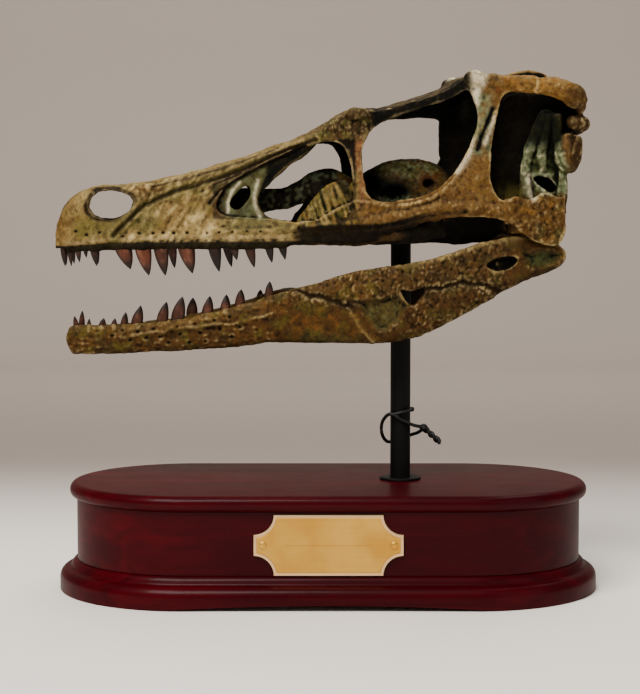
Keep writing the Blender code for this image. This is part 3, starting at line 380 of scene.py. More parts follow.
def ball(name, centre, radii, rings=12, sides=20):
    (x, y, z), (rx, ry, rz) = centre, radii
    return loft(name, [[(x + rx * math.cos(q), y + ry * math.sin(q) * math.cos(2 * math.pi * k / sides),
                         z + rz * math.sin(q) * math.sin(2 * math.pi * k / sides))
                        for k in range(sides)] for q in (math.pi * i / rings for i in range(1, rings))])


def selectOnly(*objects):
    for o in bpy.context.view_layer.objects:
        o.select_set(False)
    for o in objects:
        o.select_set(True)
    bpy.context.view_layer.objects.active = objects[0]


def finished(body, kind, **settings):  # adds a modifier and applies it
    selectOnly(body)
    step = body.modifiers.new(kind, kind)
    for key, value in settings.items():
        setattr(step, key, value)
    bpy.ops.object.modifier_apply(modifier=step.name)


def carve(body, cutter):
    finished(body, "BOOLEAN", operation="DIFFERENCE", object=cutter, solver="EXACT")
    bpy.data.objects.remove(cutter)
    return body


def joined(name, parts):
    selectOnly(*parts)
    if len(parts) > 1:
        bpy.ops.object.join()
    parts[0].name = name
    return parts[0]


def bothSides(paths):  # a tube on the left and one on the right for each named path
    return [tube(name, [(p[0], way * p[1], *p[2:]) for p in path])
            for name, path in paths.items() for way in (1, -1)]


def bothBalls(balls):
    return [ball(name, (x, way * y, z), radii)
            for name, ((x, y, z), radii) in balls.items() for way in (1, -1)]


def shellRing(x, inset=0.0, floor=None):
    top, edge = float(roof(x)) - inset, float(roof(x) - edgeDrop(x)) - inset
    low = float(margin(x)) if floor is None else floor
    width = float(halfRoof(x)) - inset
    half = [(s * width, top - (top - edge) * s ** 2.4) for s in (0, 0.2, 0.4, 0.58, 0.74, 0.88, 0.97)]
    for t in np.linspace(0.03, 0.97, 16):
        z = edge + (float(margin(x)) - edge) * t
        half.append((float(wall(x, z)) - inset, z))
    half.append((float(halfMargin(x)) - inset - 0.7, low))
    ring = [(x, y, z) for y, z in half]
    return ring + [(x, 0.0, low)] + [(x, -y, z) for y, z in reversed(half[1:])]


def carvedShell():
    stations = [0, 0.6, 1.4, 2.6, 4.2, 6.2, 8.5] + list(np.arange(11, 239, 2.6)) + [239, 240]
    body = loft("shell", [shellRing(x) for x in stations])
    nose = [shellRing(x, skull["shell"] - 0.6, 7.0) for x in (12.5, 14, 16, 19, 22, 25, 28, 31, 34, 36, 38)]
    carve(body, loft("noseHollow", nose))
    rear = [74.0] + [x for x in stations if 75 < x < 240] + [260.0]
    carve(body, loft("hollow", [shellRing(x, skull["shell"], -30.0) for x in rear]))
    for name in ("naris", "antorbital", "orbit", "temple"):
        carve(body, sidePrism(name, rounded(openings[name], 8)))
    carve(body, sidePrism("behindCheek", [(229.6, -20), (260, -20), (260, 30), (229.6, 30)]))
    for way in (-1, 1):
        outline = rounded([(x, way * y) for x, y in openings["upperTemple"]], 8)
        carve(body, planPrism("upperTemple", outline, 56, 100))
    return body


fossa = {
    "rear": [(137, 28), (133, 24.5), (128.6, 27), (124, 25.4), (120, 22), (115, 15.5), (110, 9), (113, 6),
             (124, 5), (137, 8)],
    "plateInsets": (2.2, 4.0), "rearInsets": (2.6, 5.0)}


def sheetInWall(name, outline, insets, way):
    return loft(name, [[(x, way * (float(wall(x, z)) - inset), z) for x, z in outline]
                       for inset in insets])


def fossaPlates():
    made = []
    for way in (-1, 1):
        plate = sheetInWall("fossaPlate", rounded(openings["fossaFloor"]), fossa["plateInsets"], way)
        made.append(carve(plate, sidePrism("hole", rounded(openings["maxillaryHole"]))))
        made.append(sheetInWall("rearFossa", rounded(fossa["rear"]), fossa["rearInsets"], way))
    return made


sideBars = {  # the path in the side view, then inset from the wall, half height and half width
    "lacrimalStrut": ([(136.6, 47), (137.2, 38), (137.6, 28), (137.8, 20), (138.4, 12)], 2.2, 2.0, 2.4),
    "jugalRim": ([(141, 15.6), (150, 14.6), (160, 15.2), (170, 18.4), (178, 24), (185, 34), (190.6, 44)],
                 1.4, 2.0, 1.7),
    "jugalBar": ([(112, 5), (126, 6), (142, 8), (158, 10.5), (172, 14), (188, 15), (204, 13)],
                 1.4, 3.4, 2.2),
    "postorbitalRim": ([(189, 72), (191.4, 62), (193, 50), (193.5, 40)], 1.6, 2.4, 2.2),
    "upperBar": ([(190, 71), (202, 70.6), (216, 70), (226, 68), (232, 66)], 2.0, 3.9, 2.6),
    "cheekEnd": ([(202, 13), (212, 13), (221, 13), (227, 13)], 2.6, 6, 2.6),
    "nasalRidge": ([(34, 22.8), (54, 26), (80, 33), (98, 39), (114, 45)], 1.2, 1.5, 1.5),
    "gumRidge": ([(4, -1.6), (20, 1), (50, 1.6), (80, 1.8), (108, 2)], 1.9, 2.2, 2.2),
    "gumLine": ([(5, -3.8), (20, -2.8), (50, -2.2), (80, -2.0), (106, -1.6)], 2.3, 2.2, 1.9)}
bosses = {"brow": ((137, -20.6, 57), (5.5, 3.2, 3.2)),
          "postorbitalBoss": ((189, -33.5, 72.4), (5.4, 3.6, 4.2))}


def wallBars():
    paths = {name: [(x, -(float(wall(x, z)) - inset), z, height, width) for x, z in path]
             for name, (path, inset, height, width) in sideBars.items()}
    return bothSides(paths) + bothBalls(bosses)


quadrate = {
    "sheet": [(219, 58), (225, 58), (227, 50), (229, 40), (230.6, 30), (231.2, 17), (221, 15), (211, 17),
              (210.4, 28), (211.6, 40), (215.4, 49)],
    "sheetSides": (28.6, 31.6), "sheetLean": 0.03,
    "hole": [(216.4, 27.6), (219, 29.6), (223.4, 28), (226.8, 24.2), (225.6, 21.8), (221.4, 22.8)],
    "foot": [(217, 34.4), (222, 35.3), (229, 34.8)],
    "footEdge": [(1, 1.4), (1, 8), (0.9, 8), (0.75, 8), (0.75, 1.4), (0.87, 2.6)],
    "backing": [(203, 16), (229, 14), (231, 30), (235, 40), (236.4, 52), (236, 63), (220, 66), (204, 64),
                (200, 40)],
    "backingSides": (22, 26),
    "flutes": {  # x, y, z, half height, half width, on the left
        "front": [(221, -32.4, 57, 1.8, 2), (217.4, -32, 48, 2.2, 1.8), (213.4, -31.6, 38, 2.4, 1.7),
                  (212.4, -31.4, 27, 2.4, 1.8), (214.6, -32, 15, 3, 2.4)],
        "middle": [(222.6, -32.8, 57, 2, 2), (221, -32.8, 47, 2.2, 2), (219.8, -32.2, 38, 2.3, 1.8),
                   (220.6, -31.4, 31.6, 1.6, 1.6)],
        "rear": [(226, -32.6, 57, 2.4, 2.4), (227, -32.6, 46, 2.2, 2.1), (228.6, -32.4, 36, 2.2, 2.1),
                 (229.6, -32.6, 26, 2.3, 2.3), (228, -33.4, 12, 3.4, 3)],
        "squamosal": [(216, -35.6, 69.8, 3.6, 2.8), (224, -35.8, 69.4, 4, 3.4), (230, -35.2, 67.4, 5, 4.2),
                      (235, -33.8, 64.4, 5.6, 4.2), (238.4, -31.8, 61.6, 4, 3.4)]},
    "ends": {"squamosalEnd": ((237.4, -32.2, 61.4), (3, 3.6, 4.6))}}


def quadrates():
    bars = []
    for way in (-1, 1):
        outline = rounded(quadrate["sheet"], 4)
        sheet = loft("sheet", [[(x, way * (y + quadrate["sheetLean"] * (z - 30)), z) for x, z in outline]
                               for y in quadrate["sheetSides"]])
        bars.append(carve(sheet, sidePrism("hole", rounded(quadrate["hole"]))))
        bars.append(loft("foot", [[(x, share * y * way, z) for share, z in quadrate["footEdge"]]
                                  for x, y in quadrate["foot"]]))
    bars += bothSides(quadrate["flutes"])
    for way in (-1, 1):  # the wall behind the quadrate, laid near black by the paint, partly black paint and partly painted shade
        outline = rounded(quadrate["backing"])
        bars.append(loft("backing", [[(x, way * y, z) for x, z in outline]
                                     for y in quadrate["backingSides"]]))
    return bars + bothBalls(quadrate["ends"])


brain = {
    "box": [(178, 3, 38, 60), (184, 7, 22, 66), (194, 10.5, 18, 71), (206, 12, 25, 71),
            (220, 12.5, 25, 71), (230, 12, 27, 68), (234, 9, 31, 60)],  # x, half width, low, high
    "condyle": ((236, 0, 37), (4.6, 4, 3.6)),
    "wings": {
        "paroccipital": [(229, -8, 46, 6.5, 2.6), (231, -20, 45, 6, 2.2), (233, -30, 42.6, 6.4, 2.2),
                         (235, -38, 39.5, 8, 2.4)],
        "nuchalWing": [(228, 0, 72, 3.4, 2), (231, -12, 71, 4, 2), (234.6, -24, 66, 4.2, 2.2),
                       (238, -31, 60, 3.6, 2.6)],
        "occiputKnob": [(229, -9, 53, 3, 2.4), (233, -18, 52, 3, 2.6), (237, -25, 51.4, 3.6, 2.8),
                        (238, -30, 52.2, 3.8, 3)]},
    "ends": {"occiputKnobEnd": ((236.6, -30.8, 52.8), (5.8, 4.6, 4.4)),
             "paroccipitalEnd": ((231.6, -33.6, 39.4), (6.6, 4.4, 9.6))},
    "crest": [(203, 0, 73.4, 1.8, 1.6), (212, 0, 75, 2.2, 1.6), (219.6, 0, 76.4, 2.4, 1.8),
              (226, 0, 75, 2.4, 2.2), (230, 0, 71, 3, 3)],
    "browKeel": [(146, 0, 57.4, 2.4, 4), (160, 0, 59, 3.6, 4.4), (172, 0, 60.6, 5, 5),
                 (182, 0, 61, 7, 5.6)],
    "below": {"basalTuber": [(226, -5, 30, 4, 3.4), (222, -6.4, 23, 3.4, 3), (213, -6, 18.6, 3, 2.8),
                             (203, -7.4, 15, 2.8, 2.6)]}}


def braincase():
    rings = []
    for x, half, low, high in brain["box"]:
        middle, reach = (low + high) / 2, (high - low) / 2
        rings.append([(x, half * math.cos(a) * (1.15 if math.sin(a) > 0 else 0.9),
                       middle + reach * math.sin(a)) for a in (2 * math.pi * k / 28 for k in range(28))])
    parts = [loft("brainBox", rings), ball("condyle", *brain["condyle"])]
    parts += bothSides(brain["wings"]) + bothBalls(brain["ends"])
    parts += [tube(name, brain[name]) for name in ("crest", "browKeel")]
    return parts + bothSides(brain["below"])


roofOfMouth = {
    "frontShelf": [(5, -2.2, 3), (12, -1, 6.4), (26, 0, 7), (40, 0.6, 6), (60, 1, 7), (76, 1.2, 6)],
    "sideShelf": {"sideShelf": [(72, -12, 4, 2, 4), (88, -14, 4, 1.8, 3.6), (102, -16.4, 4.4, 1.8, 3.4),
                                (110, -18, 5, 1.8, 2.8)]},
    "vomer": [(70, 0, 9, 6, 3), (80, 0, 13.5, 9, 3), (88, 0, 15.6, 8.4, 3), (95, 0, 17.6, 5.8, 2.8),
              (106, 0, 18.8, 4.9, 3), (113, 0, 21.6, 5.6, 3.4), (121, 0, 24.6, 7.2, 4),
              (127, 0, 24.8, 7.8, 4.6), (132, 0, 23.6, 6.6, 5), (137, 0, 22, 5.6, 5)],
    "palatine": {"palatine": [(118, -2, 25, 4, 2.4), (124, -9, 18, 3.4, 2.6), (124, -17, 10, 3, 3)]},
    "vault": [(132, 8, 6, 25), (136, 9.6, 4, 27.4), (140, 11, 3, 29.4), (145, 12.4, 2, 32.2),
              (150, 13.4, 1, 34.6), (156, 14.2, 1, 36.6), (162, 14.6, 1, 37.2), (168, 14.5, 1, 37),
              (174, 14, 2, 35.8), (179, 12.8, 3, 33.4), (184, 11, 5, 30.4), (192, 7, 9, 24)],
    "pits": [((144.4, 9, 23.6), (4.6, 7, 6.4)), ((155, 12, 20.4), (6.4, 7, 4.4)),
             ((171.6, 10.4, 25.6), (3.2, 5, 2.4)), ((163.6, 9, 32.2), (2.2, 3, 1.2)),
             ((151.4, 8.6, 32), (2, 2.6, 1.2))],
    "pterygoids": {
        "pterygoid": [(116, -14.4, 0.8, 1.7, 2.4), (130, -15, -0.4, 2, 2.8), (148, -14.6, 0, 2.2, 2.8),
                      (166, -15.4, 0.6, 2.6, 2.6), (180, -14.4, 2.4, 2.8, 2.4), (190, -11.4, 8, 2.6, 2.4)],
        "pterygoidWing": [(186, -12, 6, 3, 2), (196, -15, 9.6, 3.2, 1.8), (206, -20.6, 14, 4.4, 1.7),
                          (215, -28, 19, 5.4, 1.7)]},
    "sheet": [(196, 20, 8), (198, 21, 24), (206, 24.6, 33), (213, 26.6, 34), (214.6, 27.6, 17),
              (207, 22, 10)],
    "shelves": {
        "ectopterygoid": [(166, -14.6, 1.4, 2.6, 2.6), (168, -22, 2.6, 2.4, 2.6), (171, -30, 8.6, 2.4, 2.6),
                          (173, -35, 13, 2.4, 2.4)],
        "shelf": [(100, -15.6, -0.6, 2.4, 2.4), (118, -18.4, 0.4, 3, 2.6), (134, -21.6, 0.8, 3.6, 3),
                  (150, -25, 1.8, 4, 3), (164, -27, 3.6, 4.4, 3), (176, -27, 6, 4.4, 3)]},
    "flange": [(170, 16, -1.6), (171, 17, 6), (186, 20, 11), (203, 25, 12), (205, 27, 4), (196, 24, -1),
               (184, 20, -2.4)],
    "sheetHalf": 1.2, "flangeHalf": 1.1,
    "floor": [(146, 15), (160, 15.6), (172, 15)], "floorLow": -1.0, "floorHigh": 3}


def slab(name, rows):  # a board lying flat: x, half width, low, high
    return loft(name, [[(x, -half, low), (x, half, low), (x, half, high), (x, -half, high)]
                       for x, half, low, high in rows])


def uprightSheets(name, outline, thick):
    return [loft(name, [[(x, way * y + d, z) for x, y, z in outline] for d in (-thick, thick)])
            for way in (-1, 1)]


def palate():
    p = roofOfMouth
    parts = [slab("frontShelf", [(x, float(wall(x, 1)) - 1.4, low, high)
                                 for x, low, high in p["frontShelf"]])]
    parts += bothSides(p["sideShelf"]) + [tube("vomer", p["vomer"])] + bothSides(p["palatine"])
    dome = loft("vault", [[(x, half * math.cos(a), low + (crown - low) * math.sin(a))
                           for a in (math.pi * k / 24 for k in range(25))]
                          for x, half, low, crown in p["vault"]])
    for way in (-1, 1):
        for (x, y, z), radii in p["pits"]:
            carve(dome, ball("pit", (x, way * y, z), radii))
    parts += [dome] + bothSides(p["pterygoids"]) + uprightSheets("sheet", p["sheet"], p["sheetHalf"])
    parts += bothSides(p["shelves"]) + uprightSheets("flange", p["flange"], p["flangeHalf"])
    return parts + [slab("floor", [(x, half, p["floorLow"], p["floorHigh"]) for x, half in p["floor"]])]


def readArray(items, key, width, kind):
    values = np.zeros(len(items) * width, kind)
    items.foreach_get(key, values)
    return values.reshape(-1, width)


def readMesh(body):
    mesh = body.data
    points = readArray(mesh.vertices, "co", 3, np.float32).astype(float) / mm
    return (points, readArray(mesh.edges, "vertices", 2, np.int32),
            readArray(mesh.loops, "vertex_index", 1, np.int32).reshape(-1, 4))


def vertexNormals(points, quads):
    flat = np.cross(points[quads[:, 2]] - points[quads[:, 0]], points[quads[:, 3]] - points[quads[:, 1]])
    total = np.stack([np.bincount(quads.ravel(), np.repeat(flat[:, k], 4), len(points))
                      for k in range(3)], 1)
    return total / np.maximum(np.linalg.norm(total, axis=1, keepdims=True), 1e-9)


class Neighbours:  # averages over the points next to each point
    def __init__(self, edges, count):
        self.a = np.concatenate([edges[:, 0], edges[:, 1]])
        self.b = np.concatenate([edges[:, 1], edges[:, 0]])
        self.count = count
        self.share = 1 / np.maximum(np.bincount(self.a, minlength=count), 1)

    def mean(self, values):
        if values.ndim == 1:
            return np.bincount(self.a, values[self.b], self.count) * self.share
        return np.stack([self.mean(values[:, k]) for k in range(values.shape[1])], 1)

    def smooth(self, values, times, strength=0.5):
        for _ in range(times):
            values = values + strength * (self.mean(values) - values)
        return values


def scramble(cell, seed):  # one random whole number for each lattice cell
    code = (cell[:, 0] * 73856093) ^ (cell[:, 1] * 19349663) ^ (cell[:, 2] * 83492791) ^ (seed * 2654435)
    code = (code ^ (code >> 13)) * 1274126177
    return (code ^ (code >> 16)) & 0xFFFFFF


def cellBytes(code):  # three numbers of 0 to 255 out of a scrambled one
    return np.stack([(code >> (8 * k)) & 0xFF for k in range(3)], 1)


def noise(points, size, seed):  # smooth random hills, about -1 to 1
    scaled = points / size + seed * 17.31
    cell = np.floor(scaled).astype(np.int64)
    part = scaled - cell
    ease = part ** 3 * (part * (part * 6 - 15) + 10)
    total = np.zeros(len(points))
    for corner in np.ndindex(2, 2, 2):
        step = np.array(corner)
        slope = cellBytes(scramble(cell + step, seed)) / 127.5 - 1
        share = np.prod(np.where(step, ease, 1 - ease), 1)
        total += share * np.einsum("ij,ij->i", slope, part - step)
    return total * 1.7


def lumps(points, size, seed):  # round knobs side by side: 1 on a top, 0 in the creases
    scaled = points / size + seed * 9.17
    cell = np.floor(scaled).astype(np.int64)
    part = scaled - cell
    nearest = np.full(len(points), 9.0)
    for corner in np.ndindex(3, 3, 3):
        step = np.array(corner) - 1
        knob = step + cellBytes(scramble(cell + step, seed)) / 255
        nearest = np.minimum(nearest, ((part - knob) ** 2).sum(1))
    return np.clip(1 - nearest * 1.6, 0, 1)


def whereLumps(points, where, size, seed):  # the same, worked out only where it is wanted
    made = np.zeros(len(points))
    chosen = where > 0.02
    here = points[chosen]
    drift = np.stack([noise(here, 2.6, seed + k) for k in (3, 4, 5)], 1)
    here = here * (1.15, 1, 0.8) + drift  # a little taller than long
    made[chosen] = 0.68 * lumps(here, size, seed) + 0.32 * lumps(1.8 * here, size, seed + 1)
    return made * where


def warped(points, seed, amount=0.9):  # side view places, pushed about a little, so that drawn lines wander
    x = points[:, 0] + amount * noise(points, 6.5, seed) + 0.2 * amount * noise(points, 2.4, seed + 1)
    z = points[:, 2] + amount * noise(points, 6.5, seed + 2) + 0.2 * amount * noise(points, 2.4, seed + 3)
    return x, z


def ramp(low, high, value):
    t = np.clip((value - low) / (high - low), 0, 1)
    return t * t * (3 - 2 * t)


def stretches(path):
    return zip(path[:-1], path[1:])


def pathDistance(x, z, path):
    best = np.full(len(x), 1e9)
    for (ax, az), (bx, bz) in stretches(path):
        dx, dz = bx - ax, bz - az
        t = np.clip(((x - ax) * dx + (z - az) * dz) / (dx * dx + dz * dz), 0, 1)
        best = np.minimum(best, np.hypot(x - ax - t * dx, z - az - t * dz))
    return best


def line(x, z, path, width):  # 1 on a drawn line, falling to 0 beside it
    return np.exp(-(pathDistance(x, z, path) / width) ** 2)


def spot(x, z, centre, radii):
    return np.exp(-((x - centre[0]) / radii[0]) ** 2 - ((z - centre[1]) / radii[1]) ** 2)


carvings = {
    "suture": [(26.1, 2.1), (33.4, 9.6), (41, 15.8), (49.4, 20.2), (58, 23.2), (68.1, 26.1),
               (78.6, 29.6), (90.9, 34.6), (103.6, 40.2), (111.8, 43.4), (118.2, 45.8)],
    "secondLine": [(70, 17), (74.6, 22), (80.8, 26.2), (88.6, 30.4), (97.7, 34.9), (106, 38.9),
                   (114, 42.4)],
    "thirdLine": [(44, 24.2), (58, 27.6), (72, 31.4), (88, 36.6), (102, 41.6)],
    "fourthLine": [(72, 25), (82, 29), (93, 33.6), (104, 38.2), (116, 43.6)],
    "foramina": [(37.9, 3.1), (44.3, 3.1), (48.8, 3.3), (53.8, 3.1), (59.7, 3.3), (68.8, 3.1), (74.3, 3.4),
                 (80.2, 3.5), (87.0, 4.0), (93, 3.8), (30.4, 1.6), (14, 2.4), (9, 4), (20, 3.4)],
    "cheekLight": [(108, 6.4), (111, 7.7), (124.5, 12), (134.3, 17.5), (140, 17.5), (150, 15.8),
                   (160, 16.2), (170, 19.4), (178, 26), (184.5, 37), (189, 47)],
    "cheekDark": [(112, 3.6), (128, 4.8), (145, 5.4), (158, 7.8), (170, 11), (184, 12.6)],
    "postorbitalGroove": [(196.4, 59), (194.6, 54), (191.4, 47), (189.6, 41)],
    "postorbitalSliver": [(197.4, 55.6), (195.2, 49), (192.6, 43)],
    "rim": [(5, -2), (25, 0.4), (60, 1), (106, 1.2)],
    "frontSickle": [(78.6, 12.5), (78.6, 17), (80.4, 22), (84, 26.4)],
    "rearSickle": [(92.4, 27), (90.8, 21), (90.8, 16), (93, 10.4)],
    "besideGap": [(94.4, 22), (96.6, 27), (100.4, 32), (105.4, 37), (112, 40.8), (120, 43.6),
                  (127, 44.2)]}
sutureLine = [tuple(p) for p in rounded(carvings["suture"], 4, closed=False)]


def shutIn(points, quads, normals, near, reach=17.0):  # 1 where bone crowds round a point, 0 in the open
    tree = BVHTree.FromPolygons(points.tolist(), quads.tolist())
    asked = np.arange(0, len(points), 3)
    up = normals[asked]
    first = np.cross(up, np.where(np.abs(up[:, :1]) < 0.8, (1.0, 0.0, 0.0), (0.0, 1.0, 0.0)))
    first /= np.maximum(np.linalg.norm(first, axis=1, keepdims=True), 1e-9)
    second = np.cross(up, first)
    starts = (points[asked] + 0.5 * up).tolist()
    met = np.zeros(len(asked))
    for turn in range(6):
        a = 2 * math.pi * turn / 5
        way = up if turn == 5 else 0.6 * up + 0.8 * (math.cos(a) * first + math.sin(a) * second)
        for k, (start, heading) in enumerate(zip(starts, way.tolist())):
            far = tree.ray_cast(start, heading, reach)[3]
            if far is not None:
                met[k] += 1 - 0.4 * far / reach
    known, value = np.zeros(len(points)), np.zeros(len(points))
    known[asked], value[asked] = 1.0, met / 6
    return near.smooth(value, 5) / np.maximum(near.smooth(known, 5), 1e-6)


def outerMasks(points, normals):
    x, y, z = points.T
    side = np.where(y < 0, -1.0, 1.0)
    out = normals[:, 1] * side
    skin = ramp(2.4, 1.2, wall(x, z) - np.abs(y))
    return x, y, z, out, skin * ramp(-0.1, 0.35, out), skin


def zone(x, z, left, right, low, high, soft=3.0):  # 1 inside a box in the side view, 0 outside
    return (ramp(left - soft, left + soft, x) * ramp(right + soft, right - soft, x)
            * ramp(low - soft, low + soft, z) * ramp(high + soft, high - soft, z))


def stretched(x, y, z, seed):  # hills drawn out along the axes that are divided most
    return noise(np.stack([x, y, z], 1), 1.0, seed)


def drapery(points):  # folds that lean back up the side of the snout
    x, y, z = points.T
    wander = 1.6 * noise(points, 9, 61)
    return stretched((x * 0.86 - z * 0.5 + wander) / 2.2, y / 9, (x * 0.5 + z * 0.86) / 9, 6)


def palatineStreaks(x, y, z, finest):
    return stretched((x + 0.3 * z) / finest, y / 6, z / 11, 9)


def sculptCranium(points, quads, near):
    normals = vertexNormals(points, quads)
    x, y, z, out, flank, skin = outerMasks(points, normals)
    wx, wz = warped(points, 11, 0.4)
    grow = 0.42 * noise(points, 9, 1) + 0.26 * noise(points, 4.2, 2) + 0.16 * noise(points, 2.2, 3)
    knobbly = np.clip(0.5 * flank * ramp(116, 134, x) * ramp(40, 26, z)
                      + 0.9 * zone(x, z, 112, 146, 46, 70) + 0.4 * ramp(204, 212, x)
                      + 0.6 * zone(x, z, 134, 186, 8, 40, 2) * ramp(18, 15, np.abs(y))
                      + 0.4 * flank * ramp(34, 12, x), 0, 1)
    grow += 0.8 * (whereLumps(points, knobbly, 3.2, 4) - 0.4 * knobbly)
    snout = ramp(20, 34, x) * ramp(86, 70, x) * flank
    grow += 0.4 * snout * drapery(points)
    top = ramp(0.3, 0.8, normals[:, 2]) * ramp(4, 1.5, roof(x) - z) * ramp(40, 60, x)
    grow += 0.35 * top * stretched(x / 14, y / 1.6, z / 3, 8)
    beside = np.exp(-((pathDistance(wx, wz, sutureLine) - 2.0) / 1.0) ** 2)
    grow += flank * (0.45 * beside - 0.8 * line(wx, wz, sutureLine, 0.9)
                     - 0.7 * line(wx, wz, carvings["secondLine"], 0.65)
                     - 0.45 * line(wx, wz, carvings["thirdLine"], 0.55)
                     - 0.5 * line(wx, wz, carvings["fourthLine"], 0.6)
                     + 0.6 * line(x, z, carvings["cheekLight"], 1.0)
                     - 0.4 * line(wx, wz, carvings["cheekDark"], 1.0)
                     - 0.9 * line(x, z, carvings["postorbitalGroove"], 0.9)
                     + 0.5 * line(x, z, carvings["postorbitalSliver"], 0.7))
    streaks = zone(x, z, 110, 136, 8, 30, 2) * ramp(8, 6, wall(x, z) - np.abs(y)) * ramp(-0.1, 0.3, out)
    grow += 0.6 * streaks * palatineStreaks(x, y, z, 1.7)
    for fx, fz in carvings["foramina"]:
        grow -= flank * 1.0 * spot(x, z, (fx, fz), (0.66, 0.55))
    gum = ramp(4, 0, z) * ramp(112, 104, x)
    for rows in (teethOf["maxilla"], teethOf["premaxilla"]):
        for side, way in leftAndRight:
            for root, tipX, tipZ, width in rows[side]:
                grow += gum * (np.sign(y) == way) * 0.4 * np.exp(-((x - root) / (0.36 * width)) ** 2)
    return points + normals * grow[:, None]


teethOf = {
    "premaxilla": {
        "left": [(3.2, 4.1, -12.3, 3), (6.2, 7, -12.2, 2.8), (9.8, 10.7, -10.4, 3.1),
                 (17, 18.6, -12.1, 4.2)],
        "right": [(3.4, 4.4, -12, 3), (7, 8, -11.6, 2.8), (12.8, 13.6, -8.8, 3), (17.4, 19, -11.8, 4)]},
    "maxilla": {
        "left": [(29.6, 33.9, -13.5, 8), (39, 42.3, -16.4, 7.6), (47.4, 49.8, -16.4, 7),
                 (58.4, 62.2, -15.5, 7.6), (71.6, 74.4, -14.7, 6), (80.6, 82.4, -9.4, 4.8),
                 (87.7, 90.4, -12.8, 5.2), (96.6, 98.4, -10.6, 4.4), (102.8, 104.4, -9.2, 4.2)],
        "right": [(30, 34.2, -13.2, 8), (39.4, 42.6, -15.6, 7.6), (53, 54.6, -14, 4.8),
                  (60, 63.4, -14.8, 7), (73, 75.6, -14, 6), (79, 81.4, -13.6, 5),
                  (89.4, 92, -12.4, 5.2), (98.6, 100.4, -10.2, 4.4), (104.6, 106, -9, 4)]},
    "dentary": {
        "left": [(9, 8, -35.2, 2.8), (14.6, 14.8, -36.4, 2.4), (20.4, 20.6, -36.8, 3),
                 (26, 26.6, -36.2, 3.2), (30.6, 31, -34.2, 3.4), (36.4, 38.1, -31, 5.6),
                 (48, 50, -29, 5.4), (55.2, 57.6, -26.2, 6.6), (68.8, 69.8, -26.8, 5.4),
                 (77, 77.4, -26.2, 4.8), (83.8, 84, -23.2, 4.8), (97.2, 97.4, -19.6, 4.2)],
        "right": [(11.2, 11.6, -33, 3), (21, 21.4, -36.6, 3), (31, 31.6, -34, 3.4), (37, 38.6, -31, 5),
                  (48.8, 50.6, -29.4, 5), (62.4, 63, -27.6, 5.6), (70, 71, -27, 5),
                  (78.4, 78.8, -26.4, 4.6), (85.4, 85.8, -24, 4.4), (94.6, 95, -24.2, 3.4),
                  (99, 99.4, -20.4, 4)]}}
warmth = {"premaxilla": 0.12, "maxilla": 0.85, "dentary": 0.3}
maxillaWarmth = (0.75, 0.95, 0.4, 0.7, 0.05, 0.2, 0.25, 0.0, 0.0)  # tooth by tooth, from the front


tooth = {"sides": 16, "rings": 14, "mostDepth": 3.6}


def toothPoints(root, tip, width, depth):  # each with how far down it is and how near an edge
    made, sides, rings = [], tooth["sides"], tooth["rings"]
    root, tip = np.array(root, float), np.array(tip, float)
    for r in range(rings + 1):
        t = r / rings
        centre = root + (tip - root) * t
        centre[0] = root[0] + (tip[0] - root[0]) * t ** 1.7
        size = max((1 - t ** 2.4) ** 0.8 * (0.86 + 0.22 * math.sin(min(t * 2.4, 1.6))), 0.03)
        for k in range(sides):
            c, s = math.cos(2 * math.pi * k / sides), math.sin(2 * math.pi * k / sides)
            reach = np.array([0.5 * width * math.copysign(abs(c) ** 0.86, c),
                              0.5 * depth * s * abs(s) ** 0.1, 0])
            made.append((centre + size * reach, t, abs(c) ** 3))
    return made


def rowOfTeeth(kind, side, half, gum, embed):
    way, sides = -1 if side == "left" else 1, tooth["sides"]
    work = bmesh.new()
    layers = [work.verts.layers.float.new(key) for key in ("along", "warm", "keel")]
    for number, (root, tip, height, width) in enumerate(teethOf[kind][side]):
        y = way * float(half(root))
        start = float(gum(root)) + embed * (1 if height < float(gum(root)) else -1)
        warm = warmth[kind] * (maxillaWarmth[number] if kind == "maxilla" else 1)
        made = []
        for place, along, keel in toothPoints((root, y, start), (tip, y, height), width,
                                              min(tooth["mostDepth"], 0.35 * width + 1.1)):
            v = work.verts.new(Vector(place) * mm)
            for layer, value in zip(layers, (along, warm, keel)):
                v[layer] = value
            made.append(v)
        for low in range(0, len(made) - sides, sides):
            for k in range(sides):
                n = (k + 1) % sides
                work.faces.new((made[low + k], made[low + n], made[low + sides + n], made[low + sides + k]))
        work.faces.new(made[:sides])
        work.faces.new(made[-sides:])
    bmesh.ops.recalc_face_normals(work, faces=work.faces)
    mesh = bpy.data.meshes.new("teeth")
    work.to_mesh(mesh)
    work.free()
    return placed("teeth", mesh)


